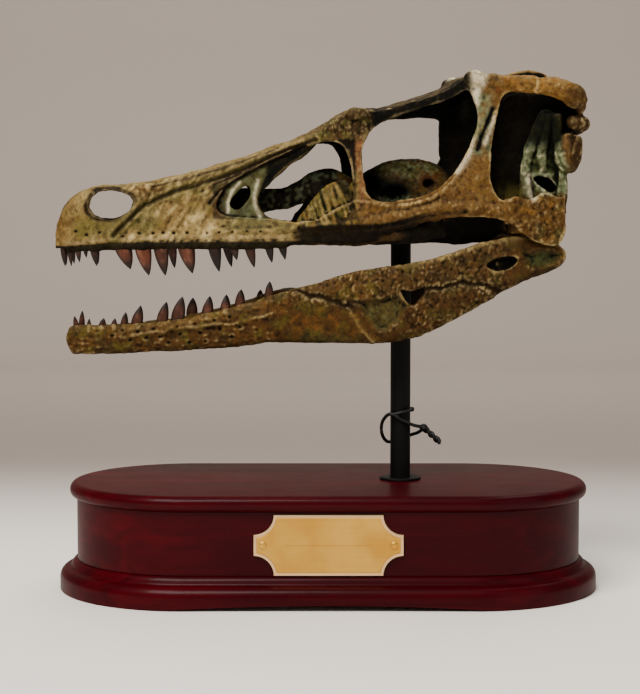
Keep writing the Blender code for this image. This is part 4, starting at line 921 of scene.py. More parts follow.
jaw = {
    "top": [(4, -44), (6.5, -40), (20, -39.8), (34, -39.3), (47, -38), (57, -37), (66, -34.9),
            (77, -32.5), (84, -30.6), (97, -26.4), (106, -23.4), (120, -20), (130, -16.4),
            (145, -13), (158, -11.4), (169, -9.2), (180, -5.8), (188, -2.8), (196, -0.4), (203, 1),
            (210, 1.8), (214, 1.6), (218, 0.4), (223, -0.4), (228, -2), (230.5, -5)],
    "bottom": [(4, -47), (7, -52.6), (20, -52.6), (43, -51.6), (66, -50.4), (88, -48.6), (97, -47.4),
               (124, -47.2), (142, -47), (153, -46.6), (160, -45.2), (169, -41.8), (178, -37.2),
               (187, -32.4), (196, -27), (205, -21.8), (214, -17.8), (222, -14.8), (228, -12.6),
               (230.5, -9)],
    "half": [(4, 3.2), (12, 5.6), (25, 8), (50, 10.4), (80, 14), (110, 17.6), (135, 22), (160, 28),
             (190, 34.6), (215, 37), (230.5, 36.6)],
    "thickness": [(4, 3.4), (12, 6.4), (40, 7.2), (90, 7.6), (120, 7), (150, 5.6), (190, 5.6),
                  (206, 8), (218, 11), (230.5, 7)],
    "hole": [(156, -22.6), (161, -23.4), (167, -21.8), (165.8, -26), (162.4, -29.8), (158.6, -27.6)],
    "foramen": [(194.4, -11.6), (198, -8.4), (205, -7.4), (208.2, -8.8), (205, -12.4), (199, -14)],
    "recess": [(132.5, -28.2), (137, -31.6), (144.7, -43), (151.3, -43.4), (157, -36), (163, -30),
               (158, -27), (155.5, -22.6), (146, -25.6)],
    "groove": [(104, -21.6), (109.2, -22.9), (120, -26.1), (127, -28.2), (133, -30.2)],
    "fold": [(131.3, -29.2), (138.9, -41.0), (144, -46)],
    "surangular": [(166, -22.6), (167.7, -23), (175.6, -21.1), (185.8, -19), (195.6, -21.5), (203, -25)],
    "ridge": [(30, -44.6), (38, -43.6), (47.2, -41.8), (65.4, -39.9), (83.7, -37.6), (97.3, -34)],
    "foramina": [(25.3, -44.0), (33.5, -46.0), (40.8, -45.2), (47.2, -44.6), (51, -47.4), (56.3, -43.4),
                 (60.4, -47.2), (65.4, -42.6), (68, -46.6), (74.6, -40.9), (80, -44.4), (83.7, -40),
                 (30, -41.6), (37, -42.2), (44, -41), (55, -40), (63, -38.6), (72, -36.8), (79, -35.4)]}
jawTop, jawBottom = curveThrough(jaw["top"]), curveThrough(jaw["bottom"])
jawHalf, jawThickness = curveThrough(jaw["half"]), curveThrough(jaw["thickness"])


def jawRing(x, way):
    top, low = float(jawTop(x)), float(jawBottom(x))
    if way > 0:  # the right half sits a little lower behind its teeth
        top -= float((3.0 + 3.0 * ramp(158, 176, x)) * ramp(100, 122, x) * ramp(214, 203, x))
    half, thick = float(jawHalf(x)), float(jawThickness(x))
    inner = max(half - thick, 0.175)
    reach, width, middle = (top - low) / 2, (half - inner) / 2, (top + low) / 2
    ring = []
    for k in range(28):
        a = 2 * math.pi * (k + 0.5) / 28
        c, s = math.cos(a), math.sin(a)
        across, up = math.copysign(abs(c) ** 0.6, c), math.copysign(abs(s) ** 0.75, s)
        ring.append((x, way * max(inner + width + width * across, 0.175), middle + reach * up * 1.02))
    return ring


def rawJaw(way):
    stations = [4, 4.6, 5.6, 7, 9] + list(np.arange(11.5, 229, 2.6)) + [229.4, 230.5]
    body = loft("jaw", [jawRing(x, way) for x in stations])
    for name, near in (("hole", 1), ("foramen", 33)):
        carve(body, sidePrism(name, rounded(jaw[name]), *sorted((way * near, way * 60))))
    return body


def insideOutline(x, z, outline, blur):  # 1 well inside a closed outline, 0 outside, soft over blur
    closed = outline + outline[:1]
    inside = np.zeros(len(x), bool)
    for (ax, az), (bx, bz) in stretches(closed):
        crosses = ((az > z) != (bz > z)) & (x < (bx - ax) * (z - az) / (bz - az + 1e-12) + ax)
        inside ^= crosses
    away = pathDistance(x, z, closed)
    return np.where(inside, ramp(0, blur, away), 0.0)


def jawLumps(points, flank):  # where the sides of the lower jaw are knobbly
    x, y, z = points.T
    upper = ramp(92, 116, x) * ramp(208, 198, x) * ramp(-31, -24, z + 0.10 * (150 - x))
    lower = ramp(150, 162, x) * ramp(214, 204, x) * ramp(-18, -24, z)
    return flank * np.clip(upper + 0.85 * lower + 0.35 * ramp(110, 96, x), 0, 1)


jawEnd = [(208, -5), (213, -14), (227, -11.5), (230, -5), (220, -3)]


def sculptJaw(points, quads, near):
    normals = vertexNormals(points, quads)
    x, y, z = points.T
    flank = ramp(0.0, 0.4, normals[:, 1] * np.where(y < 0, -1.0, 1.0))
    wx, wz = warped(points, 13, 1.1)
    grow = 0.36 * noise(points, 8, 21) + 0.22 * noise(points, 3.8, 22) + 0.12 * noise(points, 2.0, 23)
    knobbly = jawLumps(points, flank)
    grow += 1.05 * (whereLumps(points, knobbly, 3.5, 24) - 0.4 * knobbly)
    grow += flank * ramp(110, 90, x) * 0.3 * stretched(x / 4.5, y / 3, z / 1.8, 26)
    grow += flank * (0.6 * line(wx, wz, jaw["fold"], 1.1) + 0.6 * line(wx, wz, jaw["ridge"], 1.0)
                     - 1.6 * insideOutline(wx, wz, jaw["recess"], 4.0)
                     - 1.0 * line(wx, wz, jaw["groove"], 1.0)
                     - 1.0 * line(wx, wz, jaw["surangular"], 1.0)
                     - 1.4 * insideOutline(wx, wz, jawEnd, 4.0))
    for fx, fz in jaw["foramina"]:
        grow -= flank * 1.0 * spot(x, z, (fx, fz), (0.75, 0.6))
    rim = ramp(4.5, 1.0, jawTop(x) - z) * ramp(106, 98, x) * ramp(5, 9, x)
    for side, way in leftAndRight:
        for root, tipX, tipZ, width in teethOf["dentary"][side]:
            grow += rim * (np.sign(y) == way) * 0.7 * np.exp(-((x - root) / (0.42 * width)) ** 2)
    return points + normals * grow[:, None]


def cavities(points, quads, near):
    normals = vertexNormals(points, quads)
    soft = near.smooth(points, 3)
    fine = np.einsum("ij,ij->i", soft - points, normals)
    soft = near.smooth(soft, 14)
    broad = np.einsum("ij,ij->i", soft - points, normals)
    return normals, fine, broad


tints = {"tan": (140, 118, 70), "cream": (188, 164, 112), "brown": (88, 58, 18), "umber": (36, 24, 7),
         "olive": (78, 72, 22), "moss": (52, 62, 28), "mist": (104, 112, 80), "chalk": (214, 202, 168),
         "ochre": (126, 88, 34), "rust": (92, 48, 14), "pink": (112, 76, 44), "ink": (3, 4, 2),
         "sand": (108, 84, 38), "earth": (66, 42, 10)}


class Coat:  # colours laid one over another on the points
    def __init__(self, count, first):
        self.colour = np.tile(np.array(linear(*tints[first])), (count, 1))

    def lay(self, name, share):
        self.colour += np.clip(share, 0, 1)[:, None] * (np.array(linear(*tints[name])) - self.colour)


def paintCranium(points, quads, near):
    normals, fine, broad = cavities(points, quads, near)
    x, y, z, out, flank, skin = outerMasks(points, normals)
    wx, wz = warped(points, 51, 1.3)
    ux, uz = warped(points, 11, 0.4)  # the same wander as the carved lines
    shut = shutIn(points, quads, normals, near)
    n1, n2, n3 = noise(points, 8, 31), noise(points, 3.4, 32), noise(points, 1.7, 33)
    upward = ramp(0.35, 0.8, normals[:, 2]) * ramp(4, 2, roof(x) - z)
    plate = insideOutline(x, z, openings["fossaFloor"], 1.5) * ramp(5.5, 3.6, wall(x, z) - np.abs(y))
    streaks = zone(x, z, 108, 137, 4, 31, 1.5) * ramp(9, 7, wall(x, z) - np.abs(y)) * ramp(-0.1, 0.3, out)
    dome = zone(x, z, 130, 181, 4, 39, 1.5) * ramp(18, 15.5, np.abs(y)) * ramp(186, 180, x + 0.4 * (z - 20))
    sheet = (zone(x + 0.35 * np.clip(z - 26, 0, 14), z, 211, 233, 21, 60, 2.0) * ramp(27, 29, np.abs(y))
             * ramp(-0.2, 0.3, out))
    block = zone(x, z, 205, 245, -20, 21, 2.5)
    coat = Coat(len(points), "tan")
    lay = coat.lay
    folds = drapery(points)
    lay("cream", 0.7 * flank * ramp(24, 36, x) * ramp(96, 80, x) * ramp(-0.1, 0.45, folds))
    lay("brown", 0.5 * flank * ramp(24, 36, x) * ramp(92, 78, x) * ramp(0.0, -0.45, folds)
        * ramp(2, 8, z))
    lay("sand", 0.6 * ramp(-0.1, 0.5, n1))
    lay("olive", 0.45 * ramp(0.0, 0.5, noise(points, 6, 34)))
    lay("brown", (0.8 + 0.3 * n2) * ramp(112, 138, wx) * ramp(46, 40, wz - 0.1 * (wx - 150)))
    lay("brown", 0.75 * ramp(104, 116, wx) * ramp(38, 44, wz) * (1 - 0.5 * upward))
    lay("ochre", 0.5 * flank * ramp(112, 130, x) * ramp(40, 30, z) * ramp(0.0, 0.5, n2))
    lay("umber", 0.5 * ramp(0.1, 0.55, n2) * ramp(60, 120, x))
    lay("brown", 0.4 * flank * ramp(116, 136, x) * ramp(52, 40, z))
    lay("brown", 0.4 * ramp(13, 5, wx)
        + 0.3 * flank * zone(wx, wz, -5, 30, -6, 12, 4) * ramp(-0.2, 0.4, n2))
    lay("olive", 0.6 * flank * zone(wx, wz, 8, 28, 1, 10, 3))
    lay("rust", 0.75 * flank * zone(wx, wz, 36, 51, 17, 24.5, 2) * ramp(-0.5, 0.4, n3))
    lay("umber", 0.55 * flank * zone(wx, wz, 35, 48, 18, 24.5, 2) * ramp(-0.1, 0.4, n3))
    nostril = pathDistance(wx, wz, rounded(openings["naris"]))
    # painted shade round the nostril: darker just inside its rim and along its upper edge
    lay("umber", 0.9 * ramp(3.2, 1.2, nostril) * ramp(30, 20, x + 0.3 * z)
        + 0.8 * ramp(2.0, 0.8, nostril))
    lay("umber", 0.8 * ramp(1.2, 0.5, nostril - 1.2) * ramp(19, 21, z))
    lay("moss", flank * (0.6 * spot(wx, wz, (38, 9), (7, 5)) + 0.6 * spot(wx, wz, (90, 8), (13, 5))))
    lay("umber", flank * (0.35 + 0.3 * ramp(66, 90, x)) * ramp(34, 50, x) * ramp(124, 114, x)
        * ramp(14, 22, z) * ramp(0.0, 0.4, stretched(x / 20, y / 2, (z - 0.4 * x) / 1.1, 35)))
    lay("tan", 0.4 * upward * ramp(40, 60, x) * ramp(120, 106, x))
    lay("pink", 0.9 * flank * zone(wx, wz, 134.6, 140.4, 15, 47, 1.2))
    lay("umber", 0.85 * zone(wx, wz, 112, 148, 46, 72) * (1 - 0.35 * upward))
    lay("olive", 0.5 * zone(wx, wz, 112, 150, 44, 72) * ramp(0.0, 0.4, n2))
    lay("umber", 0.7 * zone(x, z, 138, 190, 50, 90, 3) * ramp(0.0, 0.6, n1 + 0.4) * upward)
    lay("mist", 0.8 * zone(wx, wz, 187, 196, 38, 66, 2.4) * ramp(-0.5, 0.3, n2))
    crown = ramp(24, 17, np.abs(y)) * ramp(0.55, 0.85, normals[:, 2])  # the roof away from its rims
    lay("chalk", 0.9 * zone(wx, wz, 186, 189 + 0.24 * np.clip(z - 56, 0, 20), 54, 90, 2.0)
        * (1 - 0.85 * crown))
    lay("chalk", 0.75 * flank * line(x, z, carvings["postorbitalSliver"], 1.0))
    lay("chalk", 0.7 * flank * line(wx, wz, [(181, 31), (185, 38), (187.4, 45)], 1.3))
    lay("ochre", 0.85 * ramp(197, 204, wx) * ramp(58, 64, wz) * (1 - 0.4 * ramp(0.0, 0.5, n1)))
    lay("tan", 0.35 * ramp(204, 212, wx) * ramp(60, 66, wz) * ramp(-0.3, 0.4, n2))
    lay("rust", 0.6 * zone(wx, wz, 197, 245, 60, 72, 2) * ramp(0.1, 0.5, n2)
        * ramp(0.6, 0.2, normals[:, 2]))
    lay("earth", 0.85 * block * (0.75 + 0.4 * n2))
    lay("moss", 0.4 * block * ramp(0.0, 0.5, n1))
    lay("ochre", 0.45 * block * ramp(0.1, 0.5, noise(points, 4, 36)))
    lay("brown", 0.8 * zone(x, z, 226, 250, 22, 60, 2))
    lay("umber", 0.6 * zone(x, z, 222, 250, 22, 58, 2) * ramp(-0.3, 0.4, n2))
    lay("umber", 0.75 * ramp(229, 233, x) * zone(x, z, 220, 260, 26, 58, 2)
        * (1 - 0.4 * ramp(0.1, 0.5, n2)))
    lay("umber", 0.65 * ramp(224, 234, wx) * ramp(56, 60, z) * ramp(73, 66, wz))
    lay("moss", 0.9 * sheet)
    lay("mist", sheet * ramp(-0.02, 0.2, -broad) * ramp(50, 40, z))
    lay("chalk", 0.6 * sheet * ramp(0.04, 0.3, -broad) * ramp(-0.3, 0.4, n3) * ramp(46, 36, z))
    lay("ink", sheet * np.clip(0.7 * ramp(0.0, -0.16, -broad) + 0.9 * ramp(38, 46, z), 0, 0.96))
    lay("chalk", 0.7 * line(x, z, [(214.4, 29), (214, 24), (215, 19)], 1.3) * ramp(27, 29, np.abs(y)))
    lay("moss", 0.8 * plate * ramp(102, 96, x))
    lay("umber", 0.35 * plate)
    lay("mist", 0.3 * plate * ramp(-0.1, 0.4, n2) * ramp(102, 96, x))
    lay("rust", 0.8 * flank * line(x, z, [(74.4, 11.5), (73.4, 15), (74, 19), (76, 23)], 1.6))
    lay("umber", 0.6 * plate * ramp(80, 76, x))
    # painted shade: the rear of the fossa plate, an inner wall under the opening's rim, laid near black
    lay("ink", 0.97 * plate * ramp(94.6, 97.4, x))
    lay("chalk", plate * 0.65 * (line(x, z, carvings["frontSickle"], 0.7)
                                   + 0.8 * line(x, z, carvings["rearSickle"], 0.75)))
    lay("olive", 0.8 * streaks)
    lay("ochre", 0.4 * streaks * ramp(0.0, 0.4, n2))
    fibres = palatineStreaks(x, y, z, 1.9)
    lay("tan", 0.5 * streaks * ramp(0.0, -0.4, fibres))
    lay("ink", 0.85 * streaks * ramp(0.05, 0.4, fibres))
    lay("earth", 0.9 * dome)
    lay("olive", 0.6 * dome * ramp(-0.4, 0.2, n1))
    lay("moss", 0.5 * dome * ramp(0.0, 0.5, n1))
    lay("mist", 0.5 * dome * ramp(0.05, 0.4, noise(points, 2.4, 37)) * ramp(24, 32, z))
    lay("umber", 0.6 * dome * ramp(0.0, 0.4, n3))
    # painted shade: the two deep pits in the dome laid near black
    for centre, radii in (((145.6, 24), (6.6, 7.6)), ((155.6, 22.2), (8.4, 5.0))):
        lay("ink", 1.6 * dome * spot(x, z, centre, radii))
    lay("rust", 0.8 * dome * spot(x, z, (171.6, 25.6), (5, 3.6)))
    lay("umber", 0.9 * dome * spot(x, z, (172, 25.4), (3.6, 2.4)))
    outer = np.clip(skin + upward, 0, 1)
    shown = np.clip(plate + streaks + dome * 0.8 + sheet * 0.9 + block + ramp(228, 232, x), 0, 1)
    # inward-facing bone not shown through an opening is laid near black: partly black paint inside the
    # cast, partly painted shade
    lay("ink", 0.97 * (1 - outer) * (1 - shown))
    lay("ink", 0.9 * ramp(0.1, -0.25, out) * (1 - upward) * (1 - shown))
    over = zone(x, z, 143, 187, 48, 90, 3)
    lay("ink", 0.985 * over * (1 - 0.3 * crown))
    # painted shadow: a black band under the upper rim of the antorbital opening
    besideGap = pathDistance(x, z, carvings["besideGap"])
    lay("ink", 0.95 * ramp(2.0, 1.0, besideGap - 0.5 * n2) * ramp(-0.3, 0.1, out))
    # painted shade, partly the cast's black wash: points that bone crowds round are laid near black
    lay("ink", 0.95 * ramp(0.30, 0.62, shut) * (1 - 0.75 * plate * ramp(97, 94, x)) * (1 - 0.5 * sheet))
    # painted shade: the shaded side in front of the lacrimal strut laid near black
    lay("ink", 0.95 * flank * zone(x, z, 128, 136.0, 18, 46, 0.7))
    lay("mist", 0.9 * dome * spot(x, z, (156, 18.4), (5.4, 2.2)) * ramp(-0.6, 0.1, n3))
    # painted highlights: pale blotches on the black vomer
    vomer = ramp(6, 4.6, np.abs(y)) * zone(x, z, 90, 140, 8, 34, 2)
    lay("mist", 0.3 * vomer * ramp(-0.1, 0.6, noise(points, 2.4, 71) + 0.5 * n1))
    lay("olive", 0.5 * ramp(19, 21.5, np.abs(y)) * spot(x, z, (207, 21), (7, 4)) * (1 - skin))
    overLip = z - np.interp(x, [5, 25, 60, 106], [-2.6, -0.9, -0.5, -0.2])
    lay("ink", 0.95 * ramp(0.2, -0.7, overLip) * ramp(118, 108, x))
    lay("chalk", 0.1 * flank * line(x, z, carvings["rim"], 0.7) * ramp(112, 100, x))
    # painted shadow: the lower edge of the cheek laid near black
    lay("ink", 0.96 * flank * ramp(5.0, 3.8, z - margin(x) + 0.3 * n2) * ramp(104, 112, x)
        * ramp(176, 160, x))
    crease = ramp(0.0, 0.09, fine) * 0.6 + ramp(0.02, 0.3, broad) * 0.6
    lay("olive", 0.8 * flank * line(ux, uz, sutureLine, 3.2))
    crease *= 1 - 0.6 * flank * line(ux, uz, sutureLine, 2.4)
    lay("umber", flank * (0.8 * line(ux, uz, sutureLine, 1.4)
                            + 0.8 * line(ux, uz, carvings["fourthLine"], 1.2)
                            + 0.9 * line(ux, uz, carvings["secondLine"], 1.5)
                            + 0.7 * line(ux, uz, carvings["thirdLine"], 1.0)
                            + 0.5 * line(ux, uz, carvings["cheekDark"], 1.8)))
    crease += flank * (0.15 * line(ux, uz, sutureLine, 0.9)
                       + 1.2 * line(x, z, carvings["postorbitalGroove"], 1.3))
    for fx, fz in carvings["foramina"]:
        crease += flank * 0.8 * spot(x, z, (fx, fz), (0.8, 0.7))
    lay("ink", 0.8 * crease)
    lay("cream", np.clip(ramp(0.02, 0.11, -fine) * 0.55 + ramp(0.08, 0.4, -broad) * 0.3, 0, 0.6)
        * outer * ramp(0.4, 0.2, shut) * np.clip(0.6 + 0.8 * n1, 0.1, 1)
        * (0.45 + 0.55 * ramp(90, 120, x))
        * (1 - 0.7 * over * ramp(0.9, 0.6, normals[:, 2])) * (1 - 0.8 * sheet)
        * np.where(x < 112, ramp(0.2, 1.6, overLip), 1)
        * np.where((x > 100) & (x < 184), ramp(3.6, 5.4, z - margin(x)), 1))
    return coat.colour


def paintJaw(points, quads, near):
    normals, fine, broad = cavities(points, quads, near)
    x, y, z = points.T
    out = normals[:, 1] * np.where(y < 0, -1.0, 1.0)
    flank = ramp(-0.1, 0.4, out)
    wx, wz = warped(points, 13, 1.1)
    shut = shutIn(points, quads, normals, near)
    n1, n2, n3 = noise(points, 8, 41), noise(points, 3.4, 42), noise(points, 1.7, 43)
    recess = insideOutline(wx, wz, jaw["recess"], 3.5) * flank
    rearEnd = insideOutline(wx, wz, jawEnd, 4.5) * flank
    knobbly = jawLumps(points, flank)
    coat = Coat(len(points), "earth")
    lay = coat.lay
    lay("brown", 0.45 * ramp(0.0, 0.5, n1))
    lay("sand", 0.18 * knobbly * ramp(94, 120, x) * ramp(-32, -24, z + 0.10 * (150 - x)))
    lay("sand", 0.4 * ramp(6, 1, jawTop(x) - z) * ramp(100, 90, x))
    lay("rust", 0.25 * ramp(0.1, 0.5, n2) * ramp(60, 90, x))
    lay("olive", 0.45 * ramp(0.0, 0.5, noise(points, 6, 44)))
    lay("ochre", 0.15 * zone(wx, wz, 100, 132, -46, -30, 5) * ramp(-0.2, 0.5, n2))
    lay("umber", 0.5 * ramp(0.1, 0.6, noise(points, 5, 45)))
    lay("umber", 0.3 * ramp(130, 160, x))
    lay("brown", 0.6 * recess)
    lay("umber", 0.45 * rearEnd)
    lay("moss", 0.5 * recess + 0.75 * rearEnd + 0.4 * flank * zone(wx, wz, 112, 134, -50, -43, 2.5))
    lay("mist", 0.15 * recess * ramp(0.1, 0.5, n3))
    lay("sand", 0.6 * flank * line(wx, wz, jaw["fold"], 1.4)
        + 0.25 * flank * line(wx, wz, jaw["ridge"], 0.9))
    lay("tan", 0.5 * ramp(2.4, 0.6, jawTop(x) - z) * ramp(140, 190, x))
    # painted shade: faces that turn down laid darker
    lay("umber", 0.7 * ramp(-0.15, -0.7, normals[:, 2]))
    # painted shade: the inner side of the jaw below its top strip laid near black
    lay("ink", 0.85 * ramp(0.1, -0.4, out) * ramp(0.7, 0.3, normals[:, 2]) * ramp(12, 20, x)
        * ramp(1.6, 3.4, jawTop(x) - z))
    # painted shade, partly the cast's black wash: points that bone crowds round are laid near black
    lay("ink", 0.9 * ramp(0.36, 0.7, shut))
    # painted shade: the walls inside the foramen laid near black
    lay("ink", 0.95 * insideOutline(x, z, jaw["foramen"], 0.4) * ramp(0.4, 1.2, jawHalf(x) - np.abs(y)))
    crease = ramp(0.0, 0.09, fine) * 0.7 + ramp(0.02, 0.3, broad) * 0.6
    lay("umber", 0.9 * flank * (line(wx, wz, jaw["groove"], 2.2) + line(wx, wz, jaw["surangular"], 2.2)
                                  + spot(x, z, (133.4, -29.6), (2.6, 2.2))))
    crease *= 1 - 0.6 * flank * (line(wx, wz, jaw["groove"], 2.6) + line(wx, wz, jaw["surangular"], 2.6))
    for fx, fz in jaw["foramina"]:
        crease += flank * 0.5 * spot(x, z, (fx, fz), (0.8, 0.6))
    lay("ink", 0.75 * crease)
    lay("cream", np.clip(ramp(0.02, 0.12, -fine) * 0.5 + ramp(0.1, 0.4, -broad) * 0.2, 0, 0.5)
        * ramp(0.4, 0.2, shut) * ramp(0.0, 0.4, out + 0.5 * normals[:, 2])
        * np.clip(0.5 + 0.8 * n1, 0.1, 1))
    return coat.colour


def seamLabels(points, quads, names):
    corners, tris, owner = [], [], []
    for number, name in enumerate(names):
        mesh = frame["nodes"][name].data
        mesh.calc_loop_triangles()
        tris += [[len(corners) + i for i in tri.vertices] for tri in mesh.loop_triangles]
        owner += [number] * len(mesh.loop_triangles)
        corners += [toSkull @ v.co for v in mesh.vertices]
    tree = BVHTree.FromPolygons(corners, tris)
    return np.array([owner[tree.find_nearest(c)[2]] for c in points[quads].mean(1)], np.int32)


def faceNeighbours(quads):
    a = quads
    b = np.roll(quads, -1, 1)
    key = np.minimum(a, b).astype(np.int64) * (quads.max() + 1) + np.maximum(a, b)
    flat = key.ravel()
    order = np.argsort(flat, kind="stable")
    same = flat[order][1:] == flat[order][:-1]
    first, second = order[:-1][same] // 4, order[1:][same] // 4
    return first, second


def groups(first, second, count):  # the lowest number of all that each is joined to
    group = np.arange(count)
    while True:
        low = np.minimum(group[first], group[second])
        new = group.copy()
        np.minimum.at(new, first, low)
        np.minimum.at(new, second, low)
        new = new[new]
        if (new == group).all():
            return group
        group = new


def settled(labels, quads, count, rounds=6):  # each face takes what most of its neighbours are
    first, second = faceNeighbours(quads)
    for _ in range(rounds):
        votes = np.zeros((len(quads), count), np.float32)
        np.add.at(votes, (first, labels[second]), 1)
        np.add.at(votes, (second, labels[first]), 1)
        votes[np.arange(len(quads)), labels] += 0.5
        labels = votes.argmax(1)
    # islands of fewer faces than the largest of a name join their surroundings
    for _ in range(4):
        keep = labels[first] == labels[second]
        group = groups(first[keep], second[keep], len(quads))
        sizes = np.bincount(group, minlength=len(quads))
        largest = np.zeros(count, int)
        for g in np.nonzero(sizes)[0]:
            name = labels[g]
            if sizes[g] > sizes[largest[name]] or labels[largest[name]] != name:
                largest[name] = g
        stray = ~np.isin(group, largest)
        if not stray.any():
            break
        for _ in range(40):
            border = (stray[first] != stray[second])
            if not border.any():
                break
            f2, s2 = first[border], second[border]
            inner = np.where(stray[f2], f2, s2)
            outer = np.where(stray[f2], s2, f2)
            labels[inner] = labels[outer]
            stray[inner] = False
    return labels


def capLoops(part):
    a = part.ravel()
    b = np.roll(part, -1, 1).ravel()
    big = int(max(a.max(), b.max())) + 1
    forward = a.astype(np.int64) * big + b
    backward = b.astype(np.int64) * big + a
    open_ = ~np.isin(backward, forward)
    nexts = {}
    for s, e in zip(a[open_].tolist(), b[open_].tolist()):
        nexts.setdefault(e, []).append(s)  # the cap runs the other way round
    loops = []
    while nexts:
        start = next(iter(nexts))
        loop, here = [], start
        while here in nexts:
            loop.append(here)
            choice = nexts[here]
            after = choice.pop()
            if not choice:
                del nexts[here]
            here = after
        loops.append(loop)
    return loops


def pieceFrom(name, points, quads, coat, paint):
    used, inverse = np.unique(quads, return_inverse=True)
    part = inverse.reshape(quads.shape)
    loops = [l for l in capLoops(part) if len(l) > 2]
    corners = np.concatenate([part.ravel()] + [np.array(l) for l in loops]).astype(np.int32)
    sizes = np.array([4] * len(part) + [len(l) for l in loops], np.int32)
    starts = np.concatenate([[0], np.cumsum(sizes)[:-1]]).astype(np.int32)
    mesh = bpy.data.meshes.new(name)
    mesh.vertices.add(len(used))
    world = (points[used] * mm) @ np.array(toRow.to_3x3()).T + np.array(toRow.translation)
    mesh.vertices.foreach_set("co", world.astype(np.float32).ravel())
    mesh.loops.add(len(corners))
    mesh.loops.foreach_set("vertex_index", corners)
    mesh.polygons.add(len(sizes))
    mesh.polygons.foreach_set("loop_start", starts)
    mesh.polygons.foreach_set("loop_total", sizes)
    mesh.update(calc_edges=True)
    smooth = np.ones(len(sizes), bool)
    smooth[len(part):] = False
    mesh.polygons.foreach_set("use_smooth", smooth)
    shades = np.concatenate([coat[used], np.ones((len(used), 1))], 1)
    layer = mesh.attributes.new("coat", "FLOAT_COLOR", "POINT")
    layer.data.foreach_set("color", shades.astype(np.float32).ravel())
    mesh.validate()
    mesh.materials.append(paint)
    made = placed(name, mesh)
    if loops:  # the edges of the cut faces stay sharp, so the skin shades on across the joint
        caps = {(min(p, q), max(p, q)) for l in loops for p, q in zip(l, l[1:] + l[:1])}
        ends = np.sort(readArray(mesh.edges, "vertices", 2, np.int32), 1)
        width = int(ends.max()) + 1
        codes = ends[:, 0].astype(np.int64) * width + ends[:, 1]
        wanted = np.array([p * width + q for p, q in caps], np.int64)
        sharp = mesh.attributes.new("sharp_edge", "BOOLEAN", "EDGE")
        sharp.data.foreach_set("value", np.isin(codes, wanted))
    return made


toRow = (Matrix.Translation(Vector((skull["postX"], 0, skull["toothLine"])) * mm)
         @ Matrix.Rotation(math.radians(skull["turn"]), 4, "Z")
         @ Matrix.Translation(Vector((-skull["postAt"], 0, 0)) * mm))
toSkull = Matrix.Scale(1 / mm, 4) @ toRow.inverted()


def melted(name, parts, grain, softening):
    body = joined(name, parts)
    finished(body, "REMESH", mode="VOXEL", voxel_size=grain * mm)
    finished(body, "SMOOTH", factor=0.5, iterations=softening)
    return body


def islandsKept(points, quads, edges):  # drops crumbs and sealed voids, all but the largest skin
    group = groups(edges[:, 0], edges[:, 1], len(points))
    keep = group == np.bincount(group).argmax()
    place = np.cumsum(keep) - 1
    return points[keep], place[quads[keep[quads[:, 0]]]], place[edges[keep[edges[:, 0]]]]


def parted(body, names, sculpt, paintOn, paint):
    points, edges, quads = readMesh(body)
    bpy.data.objects.remove(body)
    points, quads, edges = islandsKept(points, quads, edges)
    near = Neighbours(edges, len(points))
    points = sculpt(points, quads, near)
    points = near.smooth(points, 1, 0.35)
    report("sculpted %d points" % len(points))
    coat = paintOn(points, quads, near)
    labels = settled(seamLabels(points, quads, names), quads, len(names))
    report("parted into %d" % len(names))
    return {name: pieceFrom(name + "Cast", points, quads[labels == number], coat, paint)
            for number, name in enumerate(names)}


def addTeeth(bone, teeth, enamel):
    teeth.data.transform(toRow)
    for polygon in teeth.data.polygons:
        polygon.use_smooth = True
    teeth.data.materials.append(enamel)
    joined(bone.name, [bone, teeth])


def buildSkull():
    paint, enamel = boneFinish(), toothFinish()
    body = melted("cranium", [carvedShell(), *fossaPlates(), *wallBars(), *quadrates(), *braincase(),
                              *palate()], skull["grain"], skull["softening"])
    report("cranium melted, %d faces" % len(body.data.polygons))
    names = ["premaxilla", "nasals", "skull_roof", "braincase", "palate"]
    names += [n + s for n in ("maxilla", "lacrimal", "jugal", "postorbital", "squamosal", "quadrate")
              for s in ("_left", "_right")]
    bones = parted(body, names, sculptCranium, paintCranium, paint)
    rows = {  # the row's half width at x, the line of the gum, how deep the roots go
        "premaxilla": (lambda x: max(float(halfMargin(x)) - 2.4, 1.8), margin, 3),
        "maxilla": (lambda x: float(halfMargin(x)) - 2.6, margin, 3),
        "dentary": (lambda x: max(float(jawHalf(x)) - 3.4, 2.2), jawTop, 2.6)}
    for side, way in leftAndRight:
        raw = melted("jaw", [rawJaw(way)], skull["grain"], skull["softening"])
        bones.update(parted(raw, ["dentary_" + side, "rear_jaw_" + side], sculptJaw, paintJaw, paint))
        for kind, row in rows.items():
            bone = bones[kind if kind in bones else kind + "_" + side]
            addTeeth(bone, rowOfTeeth(kind, side, *row), enamel)
    for name, bone in bones.items():
        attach(bone, "root")
        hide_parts(name)
    report("skull done")


buildSkull()


def freshMesh(add, **settings):  # a new primitive, with nothing else selected
    for o in bpy.context.view_layer.objects:
        o.select_set(False)
    add(**settings)
    return bpy.context.active_object


def applyPlace():
    bpy.ops.object.transform_apply(location=True, rotation=True, scale=True)


def rod(radius, low, high, edges, x=0.0, turn=0.0):
    body = freshMesh(bpy.ops.mesh.primitive_cylinder_add, vertices=edges, radius=radius * mm,
                     depth=(high - low) * mm, location=(x * mm, 0, (low + high) / 2 * mm),
                     rotation=(0, 0, turn))
    applyPlace()
    return body


def pick(body, test, kind="VERT"):
    bpy.ops.object.mode_set(mode="EDIT")
    bpy.ops.mesh.select_mode(type=kind)
    bpy.ops.mesh.select_all(action="DESELECT")
    work = bmesh.from_edit_mesh(body.data)
    for item in {"VERT": work.verts, "EDGE": work.edges, "FACE": work.faces}[kind]:
        item.select_set(bool(test(item)))
    work.select_flush_mode()
    bmesh.update_edit_mesh(body.data)


